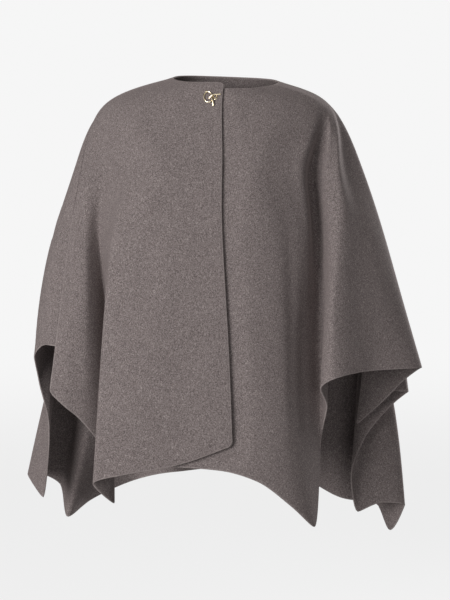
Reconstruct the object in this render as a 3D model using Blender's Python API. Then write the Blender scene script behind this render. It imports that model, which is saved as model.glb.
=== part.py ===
"""A hip-length, round-necked poncho in heavy double-faced wool, held open as it is worn.

Metres, +Z up. The garment faces -Y, and the wearer's left is +X. The origin is the middle of the
neck at the height of the shoulder seams' inner ends, where the neck and shoulders hold it up.

Each panel is one wall of cloth. Its table has a row for each line that the cloth falls along,
from the neckline to the hem: the ridge or the bottom of a fold, an edge or a corner.
"""
import math
from collections import namedtuple

import bpy
import numpy as np
from mathutils import Vector
from mathutils.bvhtree import BVHTree

MM = 0.001                # the tables' lengths are in millimetres

# Driving sizes
CLOTH = 0.0024
SEAM_GAP = 0.0003
CORNER_RADIUS = 0.007
COLUMN_STEP = 0.021
ROWS_ABOVE_SLIT = 14
ROWS_BELOW_SLIT = 14
HEM_ROW_SHARE = 0.988     # the row beside the hem, about a corner's radius above it

# How far one layer lies under another, from middle to middle of the cloth
OVERLAP_AT_NECK = 0.0040
OVERLAP_AT_HEM = 0.0085
OVERLAP_FADE = 0.060
SLIT_OVERLAP = 0.0040
SLIT_FADE = 0.020
SLIT_COLUMNS = 4          # the columns of cloth beside a slit that may pass under its other side
SLIT_TOP_STEP = 0.0038    # how far the under edge steps in just below the slit's top
SEAM_SMOOTHING = 4
EDGE_REACH = 0.080        # how far into a panel a shift of its edge is felt

# Heights of the levels at which the falling lines are set out
CHEST_Z = -0.140
ELBOW_Z = -0.235
# Share of a panel's length at the neck, shoulder, chest, elbow, hip and hem
LEVELS = (0.0, 0.15, 0.30, 0.48, 0.74, 1.0)
ELBOW_LEVEL = 3

# The neckline and the ring where the cloth leaves the shoulders
NECK_HALF_WIDTH = 0.091
NECK_FRONT = 0.078
NECK_BACK = 0.066
NECK_SIDE_Z = 0.003
NECK_DROP = 0.0185
NECK_DIP = 0.0045
NECK_TILT = 0.0035
UPPER_FRONT_LIFT = 0.0105   # the right front's neckline stands above the left front's
SHOULDER_SHIFT = -0.0158    # the shoulders lie a little to the wearer's right of the neck
SHOULDER_HALF_WIDTH = 0.1977
SHOULDER_FRONT = 0.096
SHOULDER_BACK = 0.095
SHOULDER_SIDE_Z = -0.042
SHOULDER_DROP = 0.018

# turn: where the line starts round the neck, in degrees from the front, + to the wearer's left.
# Then its x and y at the chest, elbow and hip (halfway from elbow to hem), and its x, y and z at the hem.
Fold = namedtuple("Fold", "name turn chest elbow hip hem")

FRONT_RIGHT = (
    Fold("front edge", -2, (-6, -122), (-7, -138), (3, -146), (11, -150, -626)),
    Fold("front plain", -22, (-56, -121), (-64, -138), (-75, -148), (-85, -153, -659)),
    Fold("inner plain", -45, (-111, -117), (-128, -133), (-146, -146), (-165, -155, -673)),
    Fold("ridge", -66, (-163, -92), (-179, -118), (-209, -132), (-222, -152, -690)),
    Fold("low corner", -74, (-190, -70), (-197, -87), (-195, -96), (-190, -108, -726)),
    Fold("valley", -80, (-213, -52), (-219, -57), (-203, -44), (-200, -50, -665)),
    Fold("wing inner", -86, (-231, -46), (-239, -65), (-242, -88), (-250, -76, -586)),
    Fold("wing middle", -91, (-241, -41), (-253, -58), (-265, -85), (-279, -84, -561)),
    Fold("slit edge", -95, (-247, -38), (-264, -50), (-283, -72), (-302, -84, -539)),
)
FRONT_LEFT = (
    Fold("underlap edge", -21, (-62, -119), (-69, -136), (-79, -145), (-92, -150, -661)),
    Fold("centre", -1, (-3, -122), (-5, -138), (0, -147), (-7, -150, -668)),
    Fold("left plain", 22, (46, -120), (47, -134), (50, -141), (50, -146, -685)),
    Fold("left turn", 42, (88, -107), (92, -118), (100, -124), (109, -128, -729)),
    Fold("low corner", 55, (130, -86), (131, -88), (132, -87), (150, -100, -767)),
    Fold("valley", 63, (154, -49), (156, -50), (162, -50), (165, -60, -610)),
    Fold("ridge back", 67, (166, -57), (167, -64), (172, -75), (172, -86, -566)),
    Fold("ridge edge", 71, (175, -70), (176, -85), (170, -107), (160, -118, -532)),
    Fold("ridge crest", 78, (189, -70), (193, -92), (180, -128), (180, -140, -515)),
    Fold("sleeve plane", 85, (202, -46), (228, -62), (240, -88), (250, -94, -502)),
    Fold("sleeve tip", 90, (233, -10), (265, -12), (302, -22), (339, -32, -499)),
    Fold("rear turn", 93, (232, 12), (262, 15), (300, 12), (313, 18, -523)),
    Fold("rear leg", 95, (226, 24), (255, 32), (280, 36), (287, 36, -552)),
    Fold("slit edge", 97, (219.5, 32), (247.5, 44), (250, 52), (231, 52, -605)),
)
BACK = (
    Fold("right slit edge", -95, (-247, -38), (-264, -50), (-272, -62), (-289, -70, -462)),
    Fold("arm front", -97, (-257, -22), (-283, -33), (-305, -45), (-311, -50, -459)),
    Fold("arm side", -99, (-260, 0), (-290, -5), (-317, -10), (-334, -12, -483)),
    Fold("arm rear", -103, (-257, 24), (-286, 25), (-315, 28), (-330, 25, -524)),
    Fold("wing end", -108, (-249, 45), (-275, 52), (-303, 54), (-314, 42, -612)),
    Fold("right low corner", -114, (-234, 62), (-260, 72), (-303, 73), (-323, 32, -730)),
    Fold("right side ridge", -121, (-214, 77), (-242, 88), (-304, 96), (-356, 95, -695)),
    Fold("right return", -128, (-192, 90), (-218, 104), (-274, 124), (-329, 150, -702)),
    Fold("right valley", -134, (-167, 102), (-192, 118), (-250, 139), (-303, 150, -718)),
    Fold("right flute", -141, (-140, 111), (-163, 128), (-225, 130), (-285, 100, -772)),
    Fold("right fall", -148, (-112, 118), (-133, 134), (-183, 150), (-249, 155, -748)),
    Fold("right back ridge", -157, (-85, 122), (-100, 140), (-125, 168), (-170, 195, -715)),
    Fold("right back valley", -168, (-50, 125), (-60, 138), (-75, 142), (-95, 140, -695)),
    Fold("centre ridge", -180, (-10, 126), (-10, 143), (-5, 166), (0, 185, -690)),
    Fold("left back valley", -192, (35, 124), (42, 138), (60, 142), (85, 142, -695)),
    Fold("left back ridge", -203, (72, 120), (85, 137), (112, 168), (150, 192, -715)),
    Fold("left fall", -212, (100, 112), (122, 127), (165, 155), (215, 160, -745)),
    Fold("left return", -220, (128, 100), (155, 113), (210, 156), (276, 168, -756)),
    Fold("left low point", -227, (150, 89), (178, 100), (247, 150), (300, 150, -802)),
    Fold("left side ridge", -234, (170, 77), (199, 88), (288, 129), (323, 116, -753)),
    Fold("side face", -240, (184, 66), (211, 78), (267, 107), (281, 97, -746)),
    Fold("left low corner", -245, (194, 57), (219, 69), (245, 103), (237, 89, -762)),
    Fold("left side cut", -248, (198, 53.5), (222.5, 65), (239, 95), (224, 78, -700)),
    Fold("left valley", -250, (202, 50), (226, 61), (243, 86), (246, 70, -632)),
    Fold("wing rear", -254, (208, 44), (233, 55), (268, 79), (300, 71, -566)),
    Fold("wing tip", -257, (213, 39), (239, 51), (296, 65), (324, 58, -545)),
    Fold("wing front", -260, (216.5, 35), (243.5, 47.5), (277, 51), (300, 45, -543)),
    Fold("left slit edge", -263, (219.5, 32), (247.5, 44), (254, 58), (262, 53, -539)),
)

# The clasp, set out from its middle on the right front's outer side
CLASP_X = -0.0245
CLASP_Z = -0.0357
METAL_GAP = 0.0003
RING_HALF_WIDTH = 0.0071
RING_HALF_HEIGHT = 0.0095
RING_WIRE = 0.00125       # radius
RING_LEAN = 8.5           # degrees, its top to the wearer's right
RING_ACROSS = -0.0058
RING_UP = -0.0003
STUD_WIRE = 0.0006
STUD_TURN = 18.0          # degrees round the ring from its top
LINK_HALF_WIDTH = 0.0030
LINK_HALF_HEIGHT = 0.0043
LINK_WIRE = 0.00075
LINK_ACROSS = 0.0064
LINK_UP = -0.0006
ROUND_SIDES = 12

# A place on a rod's middle line: across and up from the clasp's middle, lift off the cloth, and radius.
Bend = namedtuple("Bend", "across up lift radius")

TOGGLE = (
    Bend(-4.4, -2.6, 1.25, 0.9),
    Bend(-0.9, -0.3, 2.9, 1),
    Bend(1.7, 1.7, 4.1, 1),
    Bend(6.4, 3.1, 3.2, 1),
    Bend(10.8, 3.5, 2.4, 1.2),
    Bend(14.4, 3.9, 1.85, 1.5),
)
PULL = (
    Bend(1.3, -1.5, 4.3, 0.9),
    Bend(1.6, -6, 4.3, 1.1),
    Bend(2.2, -10.5, 3.4, 1.3),
    Bend(2.9, -15.8, 1.85, 1.5),
)
POST = (
    Bend(6.4, -2.5, 0.3, 1.3),
    Bend(6.4, -2.5, 1.9, 1.3),
    Bend(6.4, -2.5, 2.4, 1.0),
    Bend(6.4, -2.5, 2.6, 0.5),
)


def neck_point(turn, lift):
    """The neckline: an oval that drops to the front and a little to the wearer's left."""
    angle = math.radians(turn)
    forward = math.cos(angle)
    depth = NECK_FRONT if forward > 0 else NECK_BACK
    height = NECK_SIDE_Z - NECK_DROP * forward - NECK_DIP * forward ** 2 - NECK_TILT * math.sin(angle)
    height += lift * max(forward, 0.0) ** 3
    return (NECK_HALF_WIDTH * math.sin(angle), -depth * forward, height)


def shoulder_point(turn):
    """The ring over the shoulders and upper chest where the cloth starts to fall."""
    angle = math.radians(turn)
    forward = math.cos(angle)
    depth = SHOULDER_FRONT if forward > 0 else SHOULDER_BACK
    sideways = math.sin(angle)
    across = SHOULDER_HALF_WIDTH * sideways + SHOULDER_SHIFT * sideways ** 2
    return (across, -depth * forward, SHOULDER_SIDE_Z - SHOULDER_DROP * abs(forward))


def level_points(fold, lift=0.0):
    """A falling line's points at the six levels."""
    chest, elbow, hip, hem = (np.array(place) * MM for place in fold[2:])
    return np.array((
        neck_point(fold.turn, lift),
        shoulder_point(fold.turn),
        (*chest, CHEST_Z),
        (*elbow, ELBOW_Z),
        (*hip, (ELBOW_Z + hem[2]) / 2),
        hem,
    ))


def smooth_step(share):
    share = np.clip(share, 0.0, 1.0)
    return share * share * (3.0 - 2.0 * share)


def hermite(knots, values, slopes, at):
    """Cubic curve through values at the knots, with the slopes given there."""
    at = np.asarray(at, float)
    index = np.clip(np.searchsorted(knots, at, side="right") - 1, 0, len(knots) - 2)
    width = (knots[index + 1] - knots[index])[:, None, None]
    share = ((at - knots[index])[:, None, None]) / width
    start, end = values[index], values[index + 1]
    start_slope, end_slope = slopes[index] * width, slopes[index + 1] * width
    square, cube = share ** 2, share ** 3
    return (
        (2 * cube - 3 * square + 1) * start
        + (cube - 2 * square + share) * start_slope
        + (3 * square - 2 * cube) * end
        + (cube - square) * end_slope
    )


def across_folds(knots, values, before, after, at):
    """Curve across the falling lines that never swings past them."""
    first = knots[0] - (knots[1] - knots[0])
    last = knots[-1] + (knots[-1] - knots[-2])
    wide = np.concatenate([[first], knots, [last]])
    all_values = np.concatenate([[before], values, [after]])
    steps = np.diff(wide)[:, None, None]
    rates = np.diff(all_values, axis=0) / steps
    left, right = rates[:-1], rates[1:]
    left_step, right_step = steps[:-1], steps[1:]
    same_way = left * right > 0
    safe_left = np.where(same_way, left, 1.0)
    safe_right = np.where(same_way, right, 1.0)
    near = 2 * right_step + left_step
    far = right_step + 2 * left_step
    slopes = np.where(same_way, (near + far) / (near / safe_left + far / safe_right), 0.0)
    return hermite(knots, values, slopes, at)


def down_levels(values, at):
    """Curve down a falling line, with even curvature through its levels."""
    knots = np.array(LEVELS)
    count = len(knots)
    steps = np.diff(knots)
    rates = np.diff(values, axis=0) / steps[:, None, None]
    system = np.zeros((count, count))
    wanted = np.zeros_like(values)
    system[0, :2] = (2, 1)
    system[-1, -2:] = (1, 2)
    wanted[0] = 3 * rates[0]
    wanted[-1] = 3 * rates[-1]
    for i in range(1, count - 1):
        system[i, i - 1] = steps[i]
        system[i, i] = 2 * (steps[i - 1] + steps[i])
        system[i, i + 1] = steps[i - 1]
        wanted[i] = 3 * (steps[i] * rates[i - 1] + steps[i - 1] * rates[i])
    slopes = np.linalg.solve(system, wanted.reshape(count, -1)).reshape(values.shape)
    return hermite(knots, values, slopes, at)


def cloth_rows():
    """Shares of the length at which the cloth is set out: one row lies on the slit's top."""
    slit = LEVELS[ELBOW_LEVEL]
    above = np.linspace(0.0, slit, ROWS_ABOVE_SLIT + 1)
    below = np.linspace(slit, 1.0, ROWS_BELOW_SLIT + 1)
    return np.concatenate([above, below[1:-1], [HEM_ROW_SHARE, 1.0]])


def neighbour_line(lines, edge, inner, other):
    """The line past an edge: the next panel's first line above the slit, else straight on."""
    own = 2 * lines[edge] - lines[inner]
    if other is not None:
        own[:ELBOW_LEVEL + 1] = level_points(other)[:ELBOW_LEVEL + 1]
    return own


def lay_out(folds, before=None, after=None, lift=0.0):
    """A panel's middle surface as a grid [column, row, xyz], and its columns' places."""
    lines = np.array([level_points(fold, lift) for fold in folds])
    gaps = np.linalg.norm(np.diff(lines[:, ELBOW_LEVEL:], axis=0), axis=2).mean(axis=1)
    knots = np.concatenate([[0.0], np.cumsum(gaps)])
    columns = [0.0, CORNER_RADIUS]
    for start, end in zip(knots[:-1], knots[1:]):
        count = max(1, round((end - start) / COLUMN_STEP))
        columns.extend(np.linspace(start, end, count + 1)[1:])
    columns = np.array(columns[:-1] + [knots[-1] - CORNER_RADIUS, knots[-1]])
    first = neighbour_line(lines, 0, 1, before)
    last = neighbour_line(lines, -1, -2, after)
    levels = across_folds(knots, lines, first, last, columns)
    grid = down_levels(levels.transpose(1, 0, 2), cloth_rows()).transpose(1, 0, 2)
    return grid, columns


def grid_normals(grid, outward):
    """Unit normals of a grid, pointing out of the garment."""
    along = np.gradient(grid, axis=0)
    down = np.gradient(grid, axis=1)
    normals = np.cross(along, down) * outward
    return normals / np.linalg.norm(normals, axis=2, keepdims=True)


def grid_faces(grid, outward):
    """Triangles of a grid, each cell split along its shorter diagonal."""
    columns, rows = grid.shape[:2]
    falling = np.linalg.norm(grid[1:, 1:] - grid[:-1, :-1], axis=2)
    rising = np.linalg.norm(grid[1:, :-1] - grid[:-1, 1:], axis=2)
    faces = []
    for column in range(columns - 1):
        for row in range(rows - 1):
            here = column * rows + row
            there = here + rows
            if falling[column, row] <= rising[column, row]:
                pair = ((here, there, there + 1), (here, there + 1, here + 1))
            else:
                pair = ((here, there, here + 1), (there, there + 1, here + 1))
            faces += [face if outward > 0 else face[::-1] for face in pair]
    return faces


def surface_tree(grid, outward):
    points = [Vector(point) for point in grid.reshape(-1, 3)]
    return BVHTree.FromPolygons(points, grid_faces(grid, outward))


def tuck_under(grid, cover, clearance, fade, chosen):
    """Moves the chosen points of a grid in, so that they pass under the covering panel."""
    for column, row in chosen:
        point = Vector(grid[column, row])
        place, normal, _, _ = cover.find_nearest(point)
        offset = point - place
        above = offset.dot(normal)
        aside = (offset - normal * above).length
        needed = clearance[row] * (1.0 - smooth_step(aside / fade))
        if aside < fade and above > -needed:
            grid[column, row] = point - normal * (above + needed)


def pull_to_edge(grid, columns, edge, wanted):
    """Moves a panel's edge column on to the wanted line, and the cloth near it with it."""
    shift = wanted - grid[edge]
    for column, place in enumerate(columns):
        share = 1.0 - smooth_step(abs(place - columns[edge]) / EDGE_REACH)
        grid[column] += share * shift


def round_corners(grid, corners):
    """Draws a panel's corners in to the middle of their arcs."""
    for column, row in corners:
        inner_column = column + (1 if column == 0 else -1)
        inner_row = row + (1 if row == 0 else -1)
        chord = (grid[inner_column, row] + grid[column, inner_row]) / 2
        grid[column, row] += (chord - grid[column, row]) * (2.0 - math.sqrt(2.0))


def cloth_wall(name, grid, normals, outward, material):
    """A closed wall of cloth round a middle surface."""
    columns, rows = grid.shape[:2]
    outer = (grid + normals * CLOTH / 2).reshape(-1, 3)
    inner = (grid - normals * CLOTH / 2).reshape(-1, 3)
    count = columns * rows
    faces = grid_faces(grid, outward)
    faces += [tuple(index + count for index in face[::-1]) for face in faces]
    rim = [column * rows for column in range(columns)]
    rim += [(columns - 1) * rows + row for row in range(1, rows)]
    rim += [column * rows + rows - 1 for column in range(columns - 2, -1, -1)]
    rim += [row for row in range(rows - 2, 0, -1)]
    for here, there in zip(rim, rim[1:] + rim[:1]):
        face = (here, here + count, there + count, there)
        faces.append(face if outward > 0 else face[::-1])
    return add_mesh(name, np.concatenate([outer, inner]), faces, material)


def add_mesh(name, points, faces, material):
    mesh = bpy.data.meshes.new(name)
    mesh.from_pydata([tuple(point) for point in points], [], faces)
    mesh.update()
    mesh.shade_smooth()
    mesh.set_sharp_from_angle(angle=math.radians(50))
    piece = bpy.data.objects.new(name, mesh)
    bpy.context.scene.collection.objects.link(piece)
    mesh.materials.append(material)
    return piece


def on_cloth(cover, across, up, lift):
    """The place that stands off the covering panel's outer side by the lift."""
    start = Vector((CLASP_X + across, -1.0, CLASP_Z + up))
    place, normal, _, _ = cover.ray_cast(start, Vector((0.0, 1.0, 0.0)))
    return np.array(place + normal * (CLOTH / 2 + lift))


def oval(cover, across, up, half_width, half_height, lean, lift, count):
    """The middle line of an oval ring that lies along the cloth."""
    lean = math.radians(lean)
    points = []
    for i in range(count):
        angle = 2 * math.pi * i / count
        wide = half_width * math.sin(angle)
        high = half_height * math.cos(angle)
        aside = across + wide * math.cos(lean) - high * math.sin(lean)
        above = up + wide * math.sin(lean) + high * math.cos(lean)
        points.append(on_cloth(cover, aside, above, lift))
    return points


def arch(cover, middle_across, middle_up, turn, radius, lift, count):
    """The middle line of a loop that stands over a wire, its two feet just off the cloth."""
    turn = math.radians(turn)
    dip = math.asin((lift - STUD_WIRE - METAL_GAP) / radius)
    points = []
    for i in range(count):
        angle = -dip + (math.pi + 2 * dip) * i / (count - 1)
        outward = radius * math.cos(angle)
        aside = middle_across - outward * math.sin(turn)
        above = middle_up + outward * math.cos(turn)
        points.append(on_cloth(cover, aside, above, lift + radius * math.sin(angle)))
    return points


def rounded_rod(cover, bends, steps):
    """A rod's middle line and radii, smooth through its bends and round at both ends."""
    values = np.array(bends)[:, None, :] * MM
    knots = np.arange(len(bends), dtype=float)
    before = 2 * values[0] - values[1]
    after = 2 * values[-1] - values[-2]
    at = np.linspace(0, len(bends) - 1, steps)
    places = across_folds(knots, values, before, after, at)[:, 0]
    points = [on_cloth(cover, *place[:3]) for place in places]
    radii = list(places[:, 3])
    for end, inner in ((0, 1), (-1, -2)):
        away = points[end] - points[inner]
        away /= np.linalg.norm(away)
        radius = radii[end]
        cap = [(points[end] + away * radius * math.sin(angle), radius * math.cos(angle))
               for angle in (math.radians(35), math.radians(62), math.radians(82))]
        cap_points = [point for point, _ in cap]
        cap_radii = [size for _, size in cap]
        if end == 0:
            points = cap_points[::-1] + points
            radii = cap_radii[::-1] + radii
        else:
            points += cap_points
            radii += cap_radii
    return points, radii


def tube(name, points, radii, closed, material):
    """A round tube along a line of points: a closed ring, or a rod with flat ends."""
    points = np.array(points)
    count = len(points)
    if closed:
        along = np.roll(points, -1, axis=0) - np.roll(points, 1, axis=0)
    else:
        along = np.gradient(points, axis=0)
    along /= np.linalg.norm(along, axis=1, keepdims=True)
    side = np.cross(along[0], (0.31, 0.52, 0.79))
    rings = []
    for i in range(count):
        side = side - along[i] * side.dot(along[i])
        side /= np.linalg.norm(side)
        up = np.cross(along[i], side)
        for j in range(ROUND_SIDES):
            angle = 2 * math.pi * j / ROUND_SIDES
            rings.append(points[i] + radii[i] * (side * math.cos(angle) + up * math.sin(angle)))
    faces = []
    for i in range(count if closed else count - 1):
        for j in range(ROUND_SIDES):
            here, there = i * ROUND_SIDES, (i + 1) % count * ROUND_SIDES
            other = (j + 1) % ROUND_SIDES
            faces.append((here + j, here + other, there + other, there + j))
    if not closed:
        faces.append(tuple(range(ROUND_SIDES))[::-1])
        faces.append(tuple((count - 1) * ROUND_SIDES + j for j in range(ROUND_SIDES)))
    return add_mesh(name, rings, faces, material)


def build_clasp(cover):
    """A ring on the right front, and the toggle that is hooked over it and linked to a post."""
    gold = (0.80, 0.68, 0.47)
    ring_lift = RING_WIRE + METAL_GAP
    ring = oval(cover, RING_ACROSS, RING_UP, RING_HALF_WIDTH, RING_HALF_HEIGHT, RING_LEAN, ring_lift, 40)
    tube("clasp_ring", ring, [RING_WIRE] * len(ring), True,
         plain_material("clasp_ring_gold", gold, 0.25, 1.0))

    turn = math.radians(STUD_TURN)
    reach = RING_HALF_WIDTH * RING_HALF_HEIGHT / math.hypot(
        RING_HALF_HEIGHT * math.sin(turn - math.radians(RING_LEAN)),
        RING_HALF_WIDTH * math.cos(turn - math.radians(RING_LEAN)))
    across = RING_ACROSS - reach * math.sin(turn)
    up = RING_UP + reach * math.cos(turn)
    stud = arch(cover, across, up, STUD_TURN, RING_WIRE + METAL_GAP + STUD_WIRE, ring_lift, 13)
    tube("clasp_ring_stud", stud, [STUD_WIRE] * len(stud), False,
         plain_material("clasp_ring_stud_gold", gold, 0.3, 1.0))

    points, radii = rounded_rod(cover, TOGGLE, 16)
    tube("clasp_toggle", points, radii, False, plain_material("clasp_toggle_gold", gold, 0.25, 1.0))
    points, radii = rounded_rod(cover, PULL, 10)
    tube("clasp_pull", points, radii, False, plain_material("clasp_pull_gold", gold, 0.25, 1.0))

    link_lift = LINK_WIRE + METAL_GAP
    link = oval(cover, LINK_ACROSS, LINK_UP, LINK_HALF_WIDTH, LINK_HALF_HEIGHT, 0.0, link_lift, 24)
    tube("clasp_link", link, [LINK_WIRE] * len(link), True, plain_material("clasp_link_gold", gold, 0.3, 1.0))

    post = [on_cloth(cover, bend.across * MM, bend.up * MM, bend.lift * MM) for bend in POST]
    tube("clasp_post", post, [bend.radius * MM for bend in POST], False,
         plain_material("clasp_post_gold", gold, 0.3, 1.0))


def plain_material(name, colour, roughness, metallic):
    material = bpy.data.materials.new(name)
    material.use_nodes = True
    shader = material.node_tree.nodes["Principled BSDF"]
    shader.inputs["Base Color"].default_value = (*colour, 1.0)
    shader.inputs["Roughness"].default_value = roughness
    shader.inputs["Metallic"].default_value = metallic
    return material


def clear_scene():
    for old in list(bpy.data.objects):
        bpy.data.objects.remove(old)


def open_seam(front, back, front_edge, back_edge, front_normals, back_normals, last_row):
    """Gives both panels the same wall direction along a seam, and parts them by the gap."""
    shared = front_normals[front_edge] + back_normals[back_edge]
    for _ in range(SEAM_SMOOTHING):
        shared[1:last_row] = (shared[:last_row - 1] + 2 * shared[1:last_row] + shared[2:last_row + 1]) / 4
    for row in range(last_row + 1):
        normal = shared[row] / np.linalg.norm(shared[row])
        inward = 1 if front_edge == 0 else front_edge - 1
        toward = front[inward, row] - front[front_edge, row]
        below = front[front_edge, min(row + 1, last_row)] - front[front_edge, max(row - 1, 0)]
        side = np.cross(below, normal)
        side /= np.linalg.norm(side)
        side *= 1.0 if side.dot(toward) > 0 else -1.0
        front_normals[front_edge, row] = normal
        back_normals[back_edge, row] = normal
        front[front_edge, row] += side * SEAM_GAP / 2
        back[back_edge, row] -= side * SEAM_GAP / 2


def join_to_fronts(back, columns, right, left, slit):
    """Brings the back's edges on to the fronts' down to the slits, and under the right one just below."""
    for edge, front in ((0, right), (-1, left)):
        wanted = back[edge].copy()
        wanted[:slit + 1] = front[-1, :slit + 1]
        pull_to_edge(back, columns, edge, wanted)
    wanted = back[0].copy()
    beyond = right[-1, slit + 1] - right[-2, slit + 1]
    beyond *= 3 * SEAM_GAP / np.linalg.norm(beyond)
    wanted[slit + 1] = right[-1, slit + 1] + beyond - grid_normals(right, 1)[-1, slit + 1] * SLIT_TOP_STEP
    pull_to_edge(back, columns, 0, wanted)


def main():
    clear_scene()
    right, _ = lay_out(FRONT_RIGHT, after=BACK[1], lift=UPPER_FRONT_LIFT)
    left, _ = lay_out(FRONT_LEFT, after=BACK[-2])
    back, back_columns = lay_out(BACK, before=FRONT_RIGHT[-2], after=FRONT_LEFT[-2])
    slit = ROWS_ABOVE_SLIT
    rows = len(cloth_rows())
    join_to_fronts(back, back_columns, right, left, slit)

    # Below the right slit's top the back passes under the front.
    front_by_slit = surface_tree(right[-SLIT_COLUMNS:], 1)
    beside_slit = [(column, row) for column in range(SLIT_COLUMNS) for row in range(slit + 2, rows)]
    tuck_under(back, front_by_slit, np.full(rows, SLIT_OVERLAP), SLIT_FADE, beside_slit)

    # The left front passes under the right one.
    overlap = OVERLAP_AT_NECK + (OVERLAP_AT_HEM - OVERLAP_AT_NECK) * cloth_rows()
    beside_front = [(column, row) for column in range(len(left) // 2) for row in range(rows)]
    tuck_under(left, surface_tree(right, 1), overlap, OVERLAP_FADE, beside_front)

    hem = rows - 1
    round_corners(right, ((0, 0), (0, hem), (len(right) - 1, hem)))
    round_corners(left, ((0, 0), (0, hem), (len(left) - 1, hem)))
    round_corners(back, ((0, hem), (len(back) - 1, hem)))

    right_normals = grid_normals(right, 1)
    left_normals = grid_normals(left, -1)
    back_normals = grid_normals(back, 1)
    open_seam(right, back, len(right) - 1, 0, right_normals, back_normals, slit)
    open_seam(left, back, len(left) - 1, len(back) - 1, left_normals, back_normals, slit)

    taupe = (0.21, 0.175, 0.17)
    cloth_wall("front_right", right, right_normals, 1, plain_material("front_right_wool", taupe, 0.95, 0.0))
    cloth_wall("front_left", left, left_normals, -1, plain_material("front_left_wool", taupe, 0.95, 0.0))
    cloth_wall("back", back, back_normals, 1, plain_material("back_wool", taupe, 0.95, 0.0))
    build_clasp(surface_tree(right, 1))


main()
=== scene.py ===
"""The looks of a wool poncho, held open as it is worn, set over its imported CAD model.

A Blender 4.5 script in metres, +Z up. The garment faces -Y, and the wearer's left is +X. Each
panel is laid again as a finer shell of cloth along its solid's falling lines, with soft creases,
rounded edges and brushed wool. The clasp is made again with smooth rods and rings.
"""
import math
from collections import namedtuple

import bpy
import numpy as np
from bpy.props import FloatProperty, FloatVectorProperty, IntProperty, PointerProperty
from bpy.types import Operator, Panel, PropertyGroup
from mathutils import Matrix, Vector
from mathutils.bvhtree import BVHTree
from mathutils.kdtree import KDTree


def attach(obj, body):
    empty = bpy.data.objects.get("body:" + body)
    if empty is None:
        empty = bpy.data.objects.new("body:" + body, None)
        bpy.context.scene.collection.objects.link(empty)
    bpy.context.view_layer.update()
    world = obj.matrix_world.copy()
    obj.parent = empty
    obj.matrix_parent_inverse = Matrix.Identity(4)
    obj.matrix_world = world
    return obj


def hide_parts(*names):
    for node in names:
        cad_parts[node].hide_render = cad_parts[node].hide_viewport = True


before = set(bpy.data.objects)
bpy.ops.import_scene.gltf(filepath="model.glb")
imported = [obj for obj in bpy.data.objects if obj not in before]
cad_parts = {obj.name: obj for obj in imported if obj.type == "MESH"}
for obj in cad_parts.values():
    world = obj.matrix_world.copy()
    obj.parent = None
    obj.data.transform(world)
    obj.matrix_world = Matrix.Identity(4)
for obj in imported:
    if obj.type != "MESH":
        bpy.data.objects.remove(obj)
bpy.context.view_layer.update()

bl_info = {
    "name": "Wool poncho",
    "version": (1, 0, 0),
    "blender": (4, 5, 0),
    "location": "View3D > Sidebar > Poncho",
    "description": "Lays the cloth, clasp and studio of a worn wool poncho",
    "category": "Object",
}

MM = 0.001                # the tables' lengths are in millimetres

# The overlaps of the cloth, from middle to middle, as in the solids
SEAM_GAP = 0.0003
CORNER_RADIUS = 0.0075
OVERLAP_AT_NECK = 0.0040
OVERLAP_AT_HEM = 0.0085
OVERLAP_FADE = 0.060
SLIT_OVERLAP = 0.0040
SLIT_TOP_STEP = 0.0038
SLIT_FADE = 0.020
SLIT_REACH = 0.062
EDGE_REACH = 0.080
SEAM_SMOOTHING = 12
EDGE_BULGE = 0.0008       # how far a rounded edge stands past the flat of the cloth
RIM_ANGLES = (45, 90, 135)    # degrees round the rim at which a rounded edge has points
NO_EDGE = 1.0             # stands for the distance to an edge where none is near

# Heights of the levels at which the falling lines are set out
CHEST_Z = -0.140
ELBOW_Z = -0.235
# Share of a panel's length at the neck, shoulder, chest, elbow, hip and hem
LEVELS = (0.0, 0.15, 0.30, 0.48, 0.74, 1.0)
ELBOW_LEVEL = 3

# The neckline and the ring where the cloth leaves the shoulders
NECK_HALF_WIDTH = 0.091
NECK_FRONT = 0.078
NECK_BACK = 0.066
NECK_SIDE_Z = 0.003
NECK_DROP = 0.0185
NECK_DIP = 0.0045
NECK_TILT = 0.0035
UPPER_FRONT_LIFT = 0.0105
SHOULDER_SHIFT = -0.0158
SHOULDER_HALF_WIDTH = 0.1977
SHOULDER_FRONT = 0.096
SHOULDER_BACK = 0.095
SHOULDER_SIDE_Z = -0.042
SHOULDER_DROP = 0.018

# turn: where the line starts round the neck, in degrees from the front, + to the wearer's left.
# Then its x and y at the chest, elbow and hip (halfway from elbow to hem), and its x, y, z at the hem.
Fold = namedtuple("Fold", "name turn chest elbow hip hem")

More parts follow.
